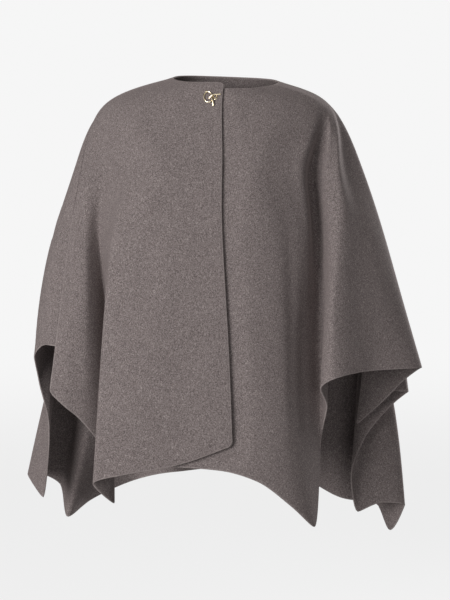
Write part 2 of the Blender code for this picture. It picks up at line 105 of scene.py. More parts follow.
FRONT_RIGHT = (
    Fold("front edge", -2, (-6, -122), (-7, -138), (3, -146), (11, -150, -626)),
    Fold("front plain", -22, (-56, -121), (-64, -138), (-75, -148), (-85, -153, -659)),
    Fold("inner plain", -45, (-111, -117), (-128, -133), (-146, -146), (-165, -155, -673)),
    Fold("ridge", -66, (-163, -92), (-179, -118), (-209, -132), (-222, -152, -690)),
    Fold("low corner", -74, (-190, -70), (-197, -87), (-195, -96), (-190, -108, -726)),
    Fold("valley", -80, (-213, -52), (-219, -57), (-203, -44), (-200, -50, -665)),
    Fold("wing inner", -86, (-231, -46), (-239, -65), (-242, -88), (-250, -76, -586)),
    Fold("wing middle", -91, (-241, -41), (-253, -58), (-265, -85), (-279, -84, -561)),
    Fold("slit edge", -95, (-247, -38), (-264, -50), (-283, -72), (-302, -84, -539)),
)
FRONT_LEFT = (
    Fold("underlap edge", -21, (-62, -119), (-69, -136), (-79, -145), (-92, -150, -661)),
    Fold("centre", -1, (-3, -122), (-5, -138), (0, -147), (-7, -150, -668)),
    Fold("left plain", 22, (46, -120), (47, -134), (50, -141), (50, -146, -685)),
    Fold("left turn", 42, (88, -107), (92, -118), (100, -124), (109, -128, -729)),
    Fold("low corner", 55, (130, -86), (131, -88), (132, -87), (150, -100, -767)),
    Fold("valley", 63, (154, -49), (156, -50), (162, -50), (165, -60, -610)),
    Fold("ridge back", 67, (166, -57), (167, -64), (172, -75), (172, -86, -566)),
    Fold("ridge edge", 71, (175, -70), (176, -85), (170, -107), (160, -118, -532)),
    Fold("ridge crest", 78, (189, -70), (193, -92), (180, -128), (180, -140, -515)),
    Fold("sleeve plane", 85, (202, -46), (228, -62), (240, -88), (250, -94, -502)),
    Fold("sleeve tip", 90, (233, -10), (265, -12), (302, -22), (339, -32, -499)),
    Fold("rear turn", 93, (232, 12), (262, 15), (300, 12), (313, 18, -523)),
    Fold("rear leg", 95, (226, 24), (255, 32), (280, 36), (287, 36, -552)),
    Fold("slit edge", 97, (219.5, 32), (247.5, 44), (250, 52), (231, 52, -605)),
)
BACK = (
    Fold("right slit edge", -95, (-247, -38), (-264, -50), (-272, -62), (-289, -70, -462)),
    Fold("arm front", -97, (-257, -22), (-283, -33), (-305, -45), (-311, -50, -459)),
    Fold("arm side", -99, (-260, 0), (-290, -5), (-317, -10), (-334, -12, -483)),
    Fold("arm rear", -103, (-257, 24), (-286, 25), (-315, 28), (-330, 25, -524)),
    Fold("wing end", -108, (-249, 45), (-275, 52), (-303, 54), (-314, 42, -612)),
    Fold("right low corner", -114, (-234, 62), (-260, 72), (-303, 73), (-323, 32, -730)),
    Fold("right side ridge", -121, (-214, 77), (-242, 88), (-304, 96), (-356, 95, -695)),
    Fold("right return", -128, (-192, 90), (-218, 104), (-274, 124), (-329, 150, -702)),
    Fold("right valley", -134, (-167, 102), (-192, 118), (-250, 139), (-303, 150, -718)),
    Fold("right flute", -141, (-140, 111), (-163, 128), (-225, 130), (-285, 100, -772)),
    Fold("right fall", -148, (-112, 118), (-133, 134), (-183, 150), (-249, 155, -748)),
    Fold("right back ridge", -157, (-85, 122), (-100, 140), (-125, 168), (-170, 195, -715)),
    Fold("right back valley", -168, (-50, 125), (-60, 138), (-75, 142), (-95, 140, -695)),
    Fold("centre ridge", -180, (-10, 126), (-10, 143), (-5, 166), (0, 185, -690)),
    Fold("left back valley", -192, (35, 124), (42, 138), (60, 142), (85, 142, -695)),
    Fold("left back ridge", -203, (72, 120), (85, 137), (112, 168), (150, 192, -715)),
    Fold("left fall", -212, (100, 112), (122, 127), (165, 155), (215, 160, -745)),
    Fold("left return", -220, (128, 100), (155, 113), (210, 156), (276, 168, -756)),
    Fold("left low point", -227, (150, 89), (178, 100), (247, 150), (300, 150, -802)),
    Fold("left side ridge", -234, (170, 77), (199, 88), (288, 129), (323, 116, -753)),
    Fold("side face", -240, (184, 66), (211, 78), (267, 107), (281, 97, -746)),
    Fold("left low corner", -245, (194, 57), (219, 69), (245, 103), (237, 89, -762)),
    Fold("left side cut", -248, (198, 53.5), (222.5, 65), (239, 95), (224, 78, -700)),
    Fold("left valley", -250, (202, 50), (226, 61), (243, 86), (246, 70, -632)),
    Fold("wing rear", -254, (208, 44), (233, 55), (268, 79), (300, 71, -566)),
    Fold("wing tip", -257, (213, 39), (239, 51), (296, 65), (324, 58, -545)),
    Fold("wing front", -260, (216.5, 35), (243.5, 47.5), (277, 51), (300, 45, -543)),
    Fold("left slit edge", -263, (219.5, 32), (247.5, 44), (254, 58), (262, 53, -539)),
)

# A soft trough (depth below 0) or ridge that the cloth settled into. Its ends are given across the
# panel from its first edge and down it as a share of its length.
Crease = namedtuple("Crease", "name start end width depth")

RIGHT_CREASES = (
    Crease("neck pull", (34, 0.10), (120, 0.42), 22, -0.9),
    Crease("shoulder drag", (150, 0.12), (168, 0.48), 26, 1.2),
    Crease("long fall", (58, 0.42), (64, 0.98), 24, -1.1),
    Crease("second fall", (118, 0.50), (124, 0.99), 28, 1.3),
    Crease("ridge hollow", (182, 0.55), (186, 0.97), 18, -1.4),
    Crease("cut pull", (262, 0.60), (300, 0.90), 16, 1.2),
    Crease("wing fall", (352, 0.42), (366, 0.96), 14, -1.1),
    Crease("slit pucker", (412, 0.44), (372, 0.53), 10, -1.6),
)
LEFT_CREASES = (
    Crease("fold lip", (246, 0.18), (250, 0.64), 15, 6.0),
    Crease("fold floor", (316, 0.20), (336, 0.64), 15, -5.0),
    Crease("soft break", (196, 0.38), (204, 0.95), 12, -2.4),
    Crease("break ridge", (222, 0.40), (224, 0.68), 11, 2.2),
    Crease("chest drag", (120, 0.14), (158, 0.44), 24, 0.9),
    Crease("corner fall", (232, 0.64), (236, 0.97), 15, -1.2),
    Crease("upper drag", (300, 0.10), (352, 0.30), 20, 1.2),
    Crease("sleeve fall", (474, 0.40), (492, 0.96), 22, -1.6),
    Crease("sleeve ridge", (530, 0.34), (538, 0.90), 20, 1.5),
    Crease("sleeve drag", (566, 0.16), (556, 0.52), 18, -1.3),
    Crease("slit pucker", (702, 0.44), (664, 0.56), 11, -1.5),
)
BACK_CREASES = (
    Crease("slit pucker", (14, 0.44), (62, 0.54), 10, -4.5),
    Crease("arm fall", (74, 0.40), (66, 0.94), 17, 3.8),
    Crease("elbow break", (100, 0.44), (160, 0.60), 14, -4.8),
    Crease("wing drag", (196, 0.22), (214, 0.62), 22, 3.9),
    Crease("side fall", (262, 0.50), (256, 0.96), 17, -3.9),
    Crease("blade drag", (382, 0.10), (424, 0.46), 26, 3.8),
    Crease("flute hollow", (432, 0.52), (438, 0.97), 17, -4.5),
    Crease("right fall", (492, 0.40), (486, 0.95), 22, -3.5),
    Crease("right back roll", (548, 0.26), (552, 0.90), 24, 3.8),
    Crease("centre hollow", (616, 0.36), (622, 0.96), 22, -3.9),
    Crease("centre roll", (690, 0.30), (688, 0.84), 26, 3.2),
    Crease("left back hollow", (764, 0.44), (760, 0.97), 20, -4.2),
    Crease("left blade drag", (842, 0.10), (806, 0.48), 26, 3.5),
    Crease("left fall", (874, 0.42), (878, 0.94), 19, 3.8),
    Crease("low point hollow", (924, 0.56), (926, 0.97), 16, -3.9),
    Crease("left elbow break", (1040, 0.40), (988, 0.58), 14, -4.2),
)

CREASE_STEPS = 48         # points along a crease's line
CREASE_BOW = 0.10         # how far a crease bows aside, as a share of its run across plus the base
CREASE_BOW_BASE = 30      # millimetres
CREASE_REACH = 3.0        # widths past which a crease no longer moves the cloth
CREASE_FADE = 0.7         # how soon it reaches its depth from its ends: lower is sooner

# The clasp, as in the solids, set out from its middle on the right front's outer side
CLASP_X = -0.0245
CLASP_Z = -0.0357
METAL_GAP = 0.0003
RING_HALF_WIDTH = 0.0071
RING_HALF_HEIGHT = 0.0095
RING_WIRE = 0.00125      # radius
RING_LEAN = 8.5           # degrees, its top to the wearer's right
RING_ACROSS = -0.0058
RING_UP = -0.0003
STUD_WIRE = 0.0006
STUD_TURN = 18.0          # degrees round the ring from its top
LINK_HALF_WIDTH = 0.0030
LINK_HALF_HEIGHT = 0.0043
LINK_WIRE = 0.00075
LINK_ACROSS = 0.0064
LINK_UP = -0.0006

# A place on a rod's middle line: across and up from the clasp's middle, lift off the cloth, and radius.
Bend = namedtuple("Bend", "across up lift radius")

TOGGLE = (
    Bend(-4.4, -2.6, 1.25, 0.9),
    Bend(-0.9, -0.3, 2.9, 1),
    Bend(1.7, 1.7, 4.1, 1),
    Bend(6.4, 3.1, 3.2, 1),
    Bend(10.8, 3.5, 2.4, 1.2),
    Bend(14.4, 3.9, 1.85, 1.5),
)
PULL = (
    Bend(1.3, -1.5, 4.3, 0.9),
    Bend(1.6, -6, 4.3, 1.1),
    Bend(2.2, -10.5, 3.4, 1.3),
    Bend(2.9, -15.8, 1.85, 1.5),
)
POST = (
    Bend(6.4, -2.5, 0.3, 1.3),
    Bend(6.4, -2.5, 1.9, 1.3),
    Bend(6.4, -2.5, 2.4, 1.0),
    Bend(6.4, -2.5, 2.6, 0.5),
)

RING_POINTS, RING_ROUNDS = 96, 6      # points along the middle line, and rounds of evening out
LINK_POINTS, LINK_ROUNDS = 64, 4
STUD_POINTS = 25
TOGGLE_POINTS = 48
PULL_POINTS = 32
CAP_ANGLES = (18, 35, 50, 63, 75, 84)    # degrees at which a rod's round end has points
ASKEW = (0.31, 0.52, 0.79)               # a direction that no rod starts along

# The stitches: how they slant, dive at their ends and thin out
STITCH_SLANT = 0.35
STITCH_DIVE = 0.0011
STITCH_SUNK = 0.6         # how far its middle lies under the cloth's face, as a share of its radius
STITCH_TAPER = 0.6
STITCH_POINTS = 7
STITCH_SIDES = 6

# A panel of cloth: its middle surface [column, row, xyz], the normals out of the garment, the
# columns' places along the hem, and which of its side edges is sewn down to the slit.
Laid = namedtuple("Laid", "grid normals places outward sewn_sides")
_laid = {}


# ---------------------------------------------------------------- laying the cloth

def neck_point(turn, lift):
    """The neckline: an oval that drops to the front and a little to the wearer's left."""
    angle = math.radians(turn)
    forward = math.cos(angle)
    depth = NECK_FRONT if forward > 0 else NECK_BACK
    height = NECK_SIDE_Z - NECK_DROP * forward - NECK_DIP * forward ** 2 - NECK_TILT * math.sin(angle)
    height += lift * max(forward, 0.0) ** 3
    return (NECK_HALF_WIDTH * math.sin(angle), -depth * forward, height)


def shoulder_point(turn):
    """The ring over the shoulders and upper chest where the cloth starts to fall."""
    angle = math.radians(turn)
    forward = math.cos(angle)
    depth = SHOULDER_FRONT if forward > 0 else SHOULDER_BACK
    sideways = math.sin(angle)
    across = SHOULDER_HALF_WIDTH * sideways + SHOULDER_SHIFT * sideways ** 2
    return (across, -depth * forward, SHOULDER_SIDE_Z - SHOULDER_DROP * abs(forward))


def level_points(fold, lift=0.0):
    """A falling line's points at the six levels."""
    chest, elbow, hip, hem = (np.array(place) * MM for place in fold[2:])
    return np.array((
        neck_point(fold.turn, lift),
        shoulder_point(fold.turn),
        (*chest, CHEST_Z),
        (*elbow, ELBOW_Z),
        (*hip, (ELBOW_Z + hem[2]) / 2),
        hem,
    ))


def run_lengths(line):
    """How far along a line each of its points lies."""
    return np.concatenate([[0.0], np.cumsum(np.linalg.norm(np.diff(line, axis=0), axis=1))])


def smooth_step(share):
    share = np.clip(share, 0.0, 1.0)
    return share * share * (3.0 - 2.0 * share)


def hermite(knots, values, slopes, at):
    """Cubic curve through values at the knots, with the slopes given there."""
    at = np.asarray(at, float)
    index = np.clip(np.searchsorted(knots, at, side="right") - 1, 0, len(knots) - 2)
    width = (knots[index + 1] - knots[index])[:, None, None]
    share = ((at - knots[index])[:, None, None]) / width
    start, end = values[index], values[index + 1]
    start_slope, end_slope = slopes[index] * width, slopes[index + 1] * width
    square, cube = share ** 2, share ** 3
    return (
        (2 * cube - 3 * square + 1) * start
        + (cube - 2 * square + share) * start_slope
        + (3 * square - 2 * cube) * end
        + (cube - square) * end_slope
    )


def across_folds(knots, values, before, after, at):
    """Curve across the falling lines that never swings past them."""
    first = knots[0] - (knots[1] - knots[0])
    last = knots[-1] + (knots[-1] - knots[-2])
    wide = np.concatenate([[first], knots, [last]])
    all_values = np.concatenate([[before], values, [after]])
    steps = np.diff(wide)[:, None, None]
    rates = np.diff(all_values, axis=0) / steps
    left, right = rates[:-1], rates[1:]
    left_step, right_step = steps[:-1], steps[1:]
    same_way = left * right > 0
    safe_left = np.where(same_way, left, 1.0)
    safe_right = np.where(same_way, right, 1.0)
    near = 2 * right_step + left_step
    far = right_step + 2 * left_step
    slopes = np.where(same_way, (near + far) / (near / safe_left + far / safe_right), 0.0)
    return hermite(knots, values, slopes, at)


def down_levels(values, at):
    """Curve down a falling line, with even curvature through its levels."""
    knots = np.array(LEVELS)
    count = len(knots)
    steps = np.diff(knots)
    rates = np.diff(values, axis=0) / steps[:, None, None]
    system = np.zeros((count, count))
    wanted = np.zeros_like(values)
    system[0, :2] = (2, 1)
    system[-1, -2:] = (1, 2)
    wanted[0] = 3 * rates[0]
    wanted[-1] = 3 * rates[-1]
    for i in range(1, count - 1):
        system[i, i - 1] = steps[i]
        system[i, i] = 2 * (steps[i - 1] + steps[i])
        system[i, i + 1] = steps[i - 1]
        wanted[i] = 3 * (steps[i] * rates[i - 1] + steps[i - 1] * rates[i])
    slopes = np.linalg.solve(system, wanted.reshape(count, -1)).reshape(values.shape)
    return hermite(knots, values, slopes, at)


def cloth_rows(cloth):
    """Shares of the length at which the cloth is set out: one row lies on the slit's top."""
    slit = LEVELS[ELBOW_LEVEL]
    above = np.linspace(0.0, slit, cloth.rows_above_slit + 1)
    below = np.linspace(slit, 1.0, cloth.rows_below_slit + 1)
    return np.concatenate([above, below[1:]])


def neighbour_line(lines, edge, inner, other):
    """The line past an edge: the next panel's first line above the slit, else straight on."""
    own = 2 * lines[edge] - lines[inner]
    if other is not None:
        own[:ELBOW_LEVEL + 1] = level_points(other)[:ELBOW_LEVEL + 1]
    return own


def lay_out(cloth, folds, before=None, after=None, lift=0.0):
    """A panel's middle surface as a grid [column, row, xyz], and its columns' places."""
    lines = np.array([level_points(fold, lift) for fold in folds])
    gaps = np.linalg.norm(np.diff(lines[:, ELBOW_LEVEL:], axis=0), axis=2).mean(axis=1)
    knots = np.concatenate([[0.0], np.cumsum(gaps)])
    places = [0.0]
    for start, end in zip(knots[:-1], knots[1:]):
        count = max(2, round((end - start) / cloth.column_step))
        places.extend(np.linspace(start, end, count + 1)[1:])
    places = np.array(places)
    first = neighbour_line(lines, 0, 1, before)
    last = neighbour_line(lines, -1, -2, after)
    levels = across_folds(knots, lines, first, last, places)
    grid = down_levels(levels.transpose(1, 0, 2), cloth_rows(cloth)).transpose(1, 0, 2)
    return grid, places


def grid_normals(grid, outward):
    """Unit normals of a grid, pointing out of the garment."""
    along = np.gradient(grid, axis=0)
    down = np.gradient(grid, axis=1)
    normals = np.cross(along, down) * outward
    return normals / np.linalg.norm(normals, axis=2, keepdims=True)


def grid_faces(columns, rows, outward):
    here = (np.arange(columns - 1)[:, None] * rows + np.arange(rows - 1)[None, :]).ravel()
    faces = np.stack([here, here + rows, here + rows + 1, here + 1], axis=1)
    return faces if outward > 0 else faces[:, ::-1]


def surface_tree(grid, outward):
    faces = grid_faces(*grid.shape[:2], outward)
    return BVHTree.FromPolygons([Vector(point) for point in grid.reshape(-1, 3)], faces.tolist())


def tuck_under(grid, cover, clearance, fade, columns, rows):
    """Moves the chosen part of a grid in, so that it passes under the covering panel."""
    for column in columns:
        for row in rows:
            point = Vector(grid[column, row])
            place, normal, _, _ = cover.find_nearest(point)
            offset = point - place
            above = offset.dot(normal)
            aside = (offset - normal * above).length
            needed = clearance[row] * (1.0 - smooth_step(aside / fade))
            if aside < fade and above > -needed:
                grid[column, row] = point - normal * (above + needed)


def pull_to_edge(grid, places, edge, wanted):
    """Moves a panel's edge column on to the wanted line, and the cloth near it with it."""
    shift = wanted - grid[edge]
    share = 1.0 - smooth_step(np.abs(places - places[edge]) / EDGE_REACH)
    grid += share[:, None, None] * shift[None]


def at_grid(grid, column, row):
    """The surface at fractional columns and rows."""
    column = np.clip(column, 0, grid.shape[0] - 1.001)
    row = np.clip(row, 0, grid.shape[1] - 1.001)
    c, r = np.floor(column).astype(int), np.floor(row).astype(int)
    u, v = (column - c)[..., None], (row - r)[..., None]
    upper = grid[c, r] * (1 - u) + grid[c + 1, r] * u
    lower = grid[c, r + 1] * (1 - u) + grid[c + 1, r + 1] * u
    return upper * (1 - v) + lower * v


def press_creases(grid, places, outward, creases, strength):
    """Raises and sinks the cloth along each crease, most at its middle and fading to its ends."""
    rows = grid.shape[1]
    shift = np.zeros(grid.shape[:2])
    points = grid.reshape(-1, 3)
    for crease in creases:
        steps = np.linspace(0.0, 1.0, CREASE_STEPS)
        bow = CREASE_BOW * np.sin(steps * math.pi) * (crease.end[0] - crease.start[0] + CREASE_BOW_BASE)
        across = (crease.start[0] + (crease.end[0] - crease.start[0]) * steps + bow) * MM
        down = (crease.start[1] + (crease.end[1] - crease.start[1]) * steps) * (rows - 1)
        line = at_grid(grid, np.interp(across, places, np.arange(len(places))), down)
        tree = KDTree(len(line))
        for i, point in enumerate(line):
            tree.insert(point, i)
        tree.balance()
        reach = CREASE_REACH * crease.width * MM
        near_columns = np.abs(places - across.mean()) < abs(np.ptp(across)) / 2 + 2.0 * reach
        for column in np.nonzero(near_columns)[0]:
            for row in range(rows):
                _, index, distance = tree.find(points[column * rows + row])
                if distance < reach:
                    along = math.sin(math.pi * (index + 0.5) / len(line)) ** CREASE_FADE
                    across_share = math.exp(-(distance / (crease.width * MM)) ** 2)
                    shift[column, row] += crease.depth * MM * along * across_share
    grid += grid_normals(grid, outward) * (shift * strength)[..., None]


def round_corner(grid, column, row):
    """Draws a square corner of the grid in to a quarter circle."""
    near_column = np.abs(np.arange(grid.shape[0]) - (column % grid.shape[0]))
    near_row = np.abs(np.arange(grid.shape[1]) - (row % grid.shape[1]))
    side = grid[:, row] if column == 0 else grid[::-1, row]
    end = grid[column, :] if row == 0 else grid[column, ::-1]
    along = run_lengths(side)
    down = run_lengths(end)
    chosen = [(c, r) for c in range(grid.shape[0]) for r in range(grid.shape[1])
              if along[near_column[c]] < CORNER_RADIUS and down[near_row[r]] < CORNER_RADIUS]
    moved = []
    for c, r in chosen:
        x = 1.0 - along[near_column[c]] / CORNER_RADIUS
        y = 1.0 - down[near_row[r]] / CORNER_RADIUS
        shrink = max(x, y) / math.hypot(x, y)
        new_column = np.interp((1.0 - x * shrink) * CORNER_RADIUS, along, np.arange(len(along)))
        new_row = np.interp((1.0 - y * shrink) * CORNER_RADIUS, down, np.arange(len(down)))
        new_column = new_column if column == 0 else grid.shape[0] - 1 - new_column
        new_row = new_row if row == 0 else grid.shape[1] - 1 - new_row
        moved.append(at_grid(grid, np.array(new_column), np.array(new_row)))
    for (c, r), point in zip(chosen, moved):
        grid[c, r] = point


def join_normals(front_normals, back_normals, back_edge, last_row):
    """Gives both panels the same, evenly turning, wall direction along a seam."""
    shared = front_normals[-1] + back_normals[back_edge]
    for _ in range(SEAM_SMOOTHING):
        shared[1:last_row] = (shared[:last_row - 1] + 2 * shared[1:last_row] + shared[2:last_row + 1]) / 4
    shared /= np.linalg.norm(shared, axis=1, keepdims=True)
    front_normals[-1, :last_row + 1] = shared[:last_row + 1]
    back_normals[back_edge, :last_row + 1] = shared[:last_row + 1]


def lay_panels(cloth):
    """Lays all three panels, joined, overlapped and creased."""
    right, right_places = lay_out(cloth, FRONT_RIGHT, after=BACK[1], lift=UPPER_FRONT_LIFT)
    left, left_places = lay_out(cloth, FRONT_LEFT, after=BACK[-2])
    back, back_places = lay_out(cloth, BACK, before=FRONT_RIGHT[-2], after=FRONT_LEFT[-2])
    press_creases(right, right_places, 1, RIGHT_CREASES, cloth.crease_strength)
    press_creases(left, left_places, -1, LEFT_CREASES, cloth.crease_strength)
    press_creases(back, back_places, 1, BACK_CREASES, cloth.crease_strength)
    slit = cloth.rows_above_slit
    rows = right.shape[1]

    # The seams: the back's edges follow the fronts' down to the slits.
    for edge, front in ((0, right), (-1, left)):
        wanted = back[edge].copy()
        wanted[:slit + 1] = front[-1, :slit + 1]
        pull_to_edge(back, back_places, edge, wanted)

    # Below the right slit's top the back passes under the front.
    clearance = np.full(rows, SLIT_OVERLAP)
    clearance[slit + 1] = SLIT_TOP_STEP
    near_slit = range(int(np.searchsorted(right_places[-1] - right_places[::-1], SLIT_REACH)))
    cover = surface_tree(right[-len(near_slit):], 1)
    tuck_under(back, cover, clearance, SLIT_FADE, near_slit, range(slit + 1, rows))

    # The left front passes under the right one.
    overlap = OVERLAP_AT_NECK + (OVERLAP_AT_HEM - OVERLAP_AT_NECK) * cloth_rows(cloth)
    tuck_under(left, surface_tree(right, 1), overlap, OVERLAP_FADE, range(len(left) // 3), range(rows))

    for grid, corners in (
        (right, ((0, 0), (0, -1), (-1, -1))),
        (left, ((0, 0), (0, -1), (-1, -1))),
        (back, ((0, -1), (-1, -1))),
    ):
        for column, row in corners:
            round_corner(grid, column, row)

    right_normals = grid_normals(right, 1)
    left_normals = grid_normals(left, -1)
    back_normals = grid_normals(back, 1)
    join_normals(right_normals, back_normals, 0, slit)
    join_normals(left_normals, back_normals, -1, slit)
    return {
        "front_right": Laid(right, right_normals, right_places, 1, (False, True)),
        "front_left": Laid(left, left_normals, left_places, -1, (False, True)),
        "back": Laid(back, back_normals, back_places, 1, (True, True)),
    }


def laid_panel(name):
    """A panel as it lies with the sidebar's settings, laid once for each set of them."""
    cloth = bpy.context.scene.poncho_cloth
    key = (cloth.column_step, cloth.rows_above_slit, cloth.rows_below_slit, cloth.crease_strength)
    if key not in _laid:
        _laid.clear()
        _laid[key] = lay_panels(cloth)
    return _laid[key][name]


# ---------------------------------------------------------------- shells, tubes and threads

def rim_loop(columns, rows):
    """The grid's outline as (column, row) pairs, once round."""
    loop = [(column, 0) for column in range(columns)]
    loop += [(columns - 1, row) for row in range(1, rows)]
    loop += [(column, rows - 1) for column in range(columns - 2, -1, -1)]
    loop += [(0, row) for row in range(rows - 2, 0, -1)]
    return loop


def rim_directions(laid, loop):
    """The way out of the cloth, in its own plane, at each point of its outline."""
    columns, rows = laid.grid.shape[:2]
    points = np.array([laid.grid[c, r] for c, r in loop])
    normals = np.array([laid.normals[c, r] for c, r in loop])
    along = np.roll(points, -1, axis=0) - np.roll(points, 1, axis=0)
    out = np.cross(along, normals)
    out /= np.linalg.norm(out, axis=1, keepdims=True)
    inner = np.array([laid.grid[min(max(c, 1), columns - 2), min(max(r, 1), rows - 2)] for c, r in loop])
    facing = np.sum(out * (points - inner), axis=1)
    return out * np.sign(np.sum(facing))


def edge_distance(laid, slit):
    """How far each point of the grid lies from the nearest free edge and the nearest side edge."""
    across = np.linalg.norm(np.diff(laid.grid, axis=0), axis=2)
    down = np.linalg.norm(np.diff(laid.grid, axis=1), axis=2)
    from_first = np.concatenate([np.zeros((1, laid.grid.shape[1])), np.cumsum(across, axis=0)])
    from_neck = np.concatenate([np.zeros((laid.grid.shape[0], 1)), np.cumsum(down, axis=1)], axis=1)
    from_last = from_first[-1:] - from_first
    from_hem = from_neck[:, -1:] - from_neck
    for sewn, distance in zip(laid.sewn_sides, (from_first, from_last)):
        if sewn:
            distance[:, :slit] = NO_EDGE
    sides = np.minimum(from_first, from_last)
    return np.minimum(sides, np.minimum(from_neck, from_hem)), sides


def cloth_shell(name, cloth):
    """A closed shell of cloth with rounded edges; attributes give each point's distance to them."""
    laid = laid_panel(name)
    columns, rows = laid.grid.shape[:2]
    half = cloth.thickness / 2
    loop = rim_loop(columns, rows)
    out = rim_directions(laid, loop)
    grid = laid.grid.copy()
    slit = cloth.rows_above_slit
    for (c, r), direction in zip(loop, out):
        sewn = (c == 0 and laid.sewn_sides[0] or c == columns - 1 and laid.sewn_sides[1]) and r <= slit
        grid[c, r] -= direction * (EDGE_BULGE + (SEAM_GAP / 2 if sewn else 0.0))

    points = [(grid + laid.normals * half).reshape(-1, 3), (grid - laid.normals * half).reshape(-1, 3)]
    count = columns * rows
    middle = np.array([grid[c, r] for c, r in loop])
    normals = np.array([laid.normals[c, r] for c, r in loop])
    for angle in np.radians(RIM_ANGLES):
        points.append(middle + normals * half * math.cos(angle) + out * EDGE_BULGE * math.sin(angle))

    faces = grid_faces(columns, rows, laid.outward)
    quads = [faces, faces[:, ::-1] + count]
    outline = np.array([c * rows + r for c, r in loop])
    bends = [2 * count + k * len(loop) + np.arange(len(loop)) for k in range(len(RIM_ANGLES))]
    rings = [outline, *bends, outline + count]
    for upper, lower in zip(rings[:-1], rings[1:]):
        strip = np.stack([upper, lower, np.roll(lower, -1), np.roll(upper, -1)], axis=1)
        quads.append(strip if laid.outward > 0 else strip[:, ::-1])

    mesh = smooth_mesh(name + "_cloth", np.concatenate(points).tolist(), np.concatenate(quads).tolist())
    edges, sides = edge_distance(laid, slit)
    rim = np.tile(outline, len(RIM_ANGLES))
    for label, values in (("free_edge", edges.ravel()), ("front_edge", sides.ravel())):
        attribute = mesh.attributes.new(label, "FLOAT", "POINT")
        values = np.concatenate([values, values, values[rim]])
        attribute.data.foreach_set("value", values.astype(np.float32))
    return add_piece(name + "_cloth", mesh)


def smooth_mesh(name, points, faces):
    mesh = bpy.data.meshes.new(name)
    mesh.from_pydata(points, [], faces)
    mesh.update()
    mesh.shade_smooth()
    return mesh


def add_piece(name, mesh):
    piece = bpy.data.objects.new(name, mesh)
    bpy.context.scene.collection.objects.link(piece)
    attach(piece, "root")
    return piece


def on_cloth(cover, across, up, lift):
    """The place that stands off the covering panel's outer side by the lift."""
    start = Vector((CLASP_X + across, -1.0, CLASP_Z + up))
    place, normal, _, _ = cover.ray_cast(start, Vector((0.0, 1.0, 0.0)))
    if place is None:
        raise RuntimeError("the clasp has no cloth behind it")
    return np.array(place + normal * (bpy.context.scene.poncho_cloth.thickness / 2 + lift))


def oval(cover, across, up, half_width, half_height, lean, lift, count):
    """The middle line of an oval ring that lies along the cloth."""
    lean = math.radians(lean)
    points = []
    for i in range(count):
        angle = 2 * math.pi * i / count
        wide = half_width * math.sin(angle)
        high = half_height * math.cos(angle)
        aside = across + wide * math.cos(lean) - high * math.sin(lean)
        above = up + wide * math.sin(lean) + high * math.cos(lean)
        points.append(on_cloth(cover, aside, above, lift))
    return points


def arch(cover, across, up, turn, radius, lift, count):
    """The middle line of a loop that stands over a wire, its two feet just off the cloth."""
    turn = math.radians(turn)
    dip = math.asin((lift - STUD_WIRE - METAL_GAP) / radius)
    points = []
    for i in range(count):
        angle = -dip + (math.pi + 2 * dip) * i / (count - 1)
        outward = radius * math.cos(angle)
        aside = across - outward * math.sin(turn)
        above = up + outward * math.cos(turn)
        points.append(on_cloth(cover, aside, above, lift + radius * math.sin(angle)))
    return points


def smooth_closed(points, rounds):
    """Evens out a closed line that follows the cloth's facets."""
    points = np.array(points)
    for _ in range(rounds):
        points = (np.roll(points, 1, axis=0) + 2 * points + np.roll(points, -1, axis=0)) / 4
    return points


def rounded_rod(cover, bends, steps):
    """A rod's middle line and radii, smooth through its bends and round at both ends."""
    values = np.array(bends)[:, None, :] * MM
    knots = np.arange(len(bends), dtype=float)
    before = 2 * values[0] - values[1]
    after = 2 * values[-1] - values[-2]
    at = np.linspace(0, len(bends) - 1, steps)
    places = across_folds(knots, values, before, after, at)[:, 0]
    points = [on_cloth(cover, *place[:3]) for place in places]
    radii = list(places[:, 3])
    for end, inner in ((0, 1), (-1, -2)):
        away = points[end] - points[inner]
        away /= np.linalg.norm(away)
        radius = radii[end]
        angles = [math.radians(angle) for angle in CAP_ANGLES]
        cap_points = [points[end] + away * radius * math.sin(angle) for angle in angles]
        cap_radii = [radius * math.cos(angle) for angle in angles]
        if end == 0:
            points = cap_points[::-1] + points
            radii = cap_radii[::-1] + radii
        else:
            points += cap_points
            radii += cap_radii
    return points, radii


def tube_mesh(name, runs, sides):
    """One mesh of round tubes; each run is (points, radii, closed)."""
    verts, faces = [], []
    for points, radii, closed in runs:
        points = np.array(points)
        count = len(points)
        first = len(verts)
        if closed:
            along = np.roll(points, -1, axis=0) - np.roll(points, 1, axis=0)
        else:
            along = np.gradient(points, axis=0)
        along /= np.linalg.norm(along, axis=1, keepdims=True)
        side = np.cross(along[0], ASKEW)
        for i in range(count):
            side = side - along[i] * side.dot(along[i])
            side /= np.linalg.norm(side)
            up = np.cross(along[i], side)
            for j in range(sides):
                angle = 2 * math.pi * j / sides
                verts.append(points[i] + radii[i] * (side * math.cos(angle) + up * math.sin(angle)))
        for i in range(count if closed else count - 1):
            for j in range(sides):
                here, there = first + i * sides, first + (i + 1) % count * sides
                other = (j + 1) % sides
                faces.append((here + j, here + other, there + other, there + j))
        if not closed:
            faces.append(tuple(first + j for j in range(sides))[::-1])
            faces.append(tuple(first + (count - 1) * sides + j for j in range(sides)))
    return smooth_mesh(name, [tuple(point) for point in verts], faces)


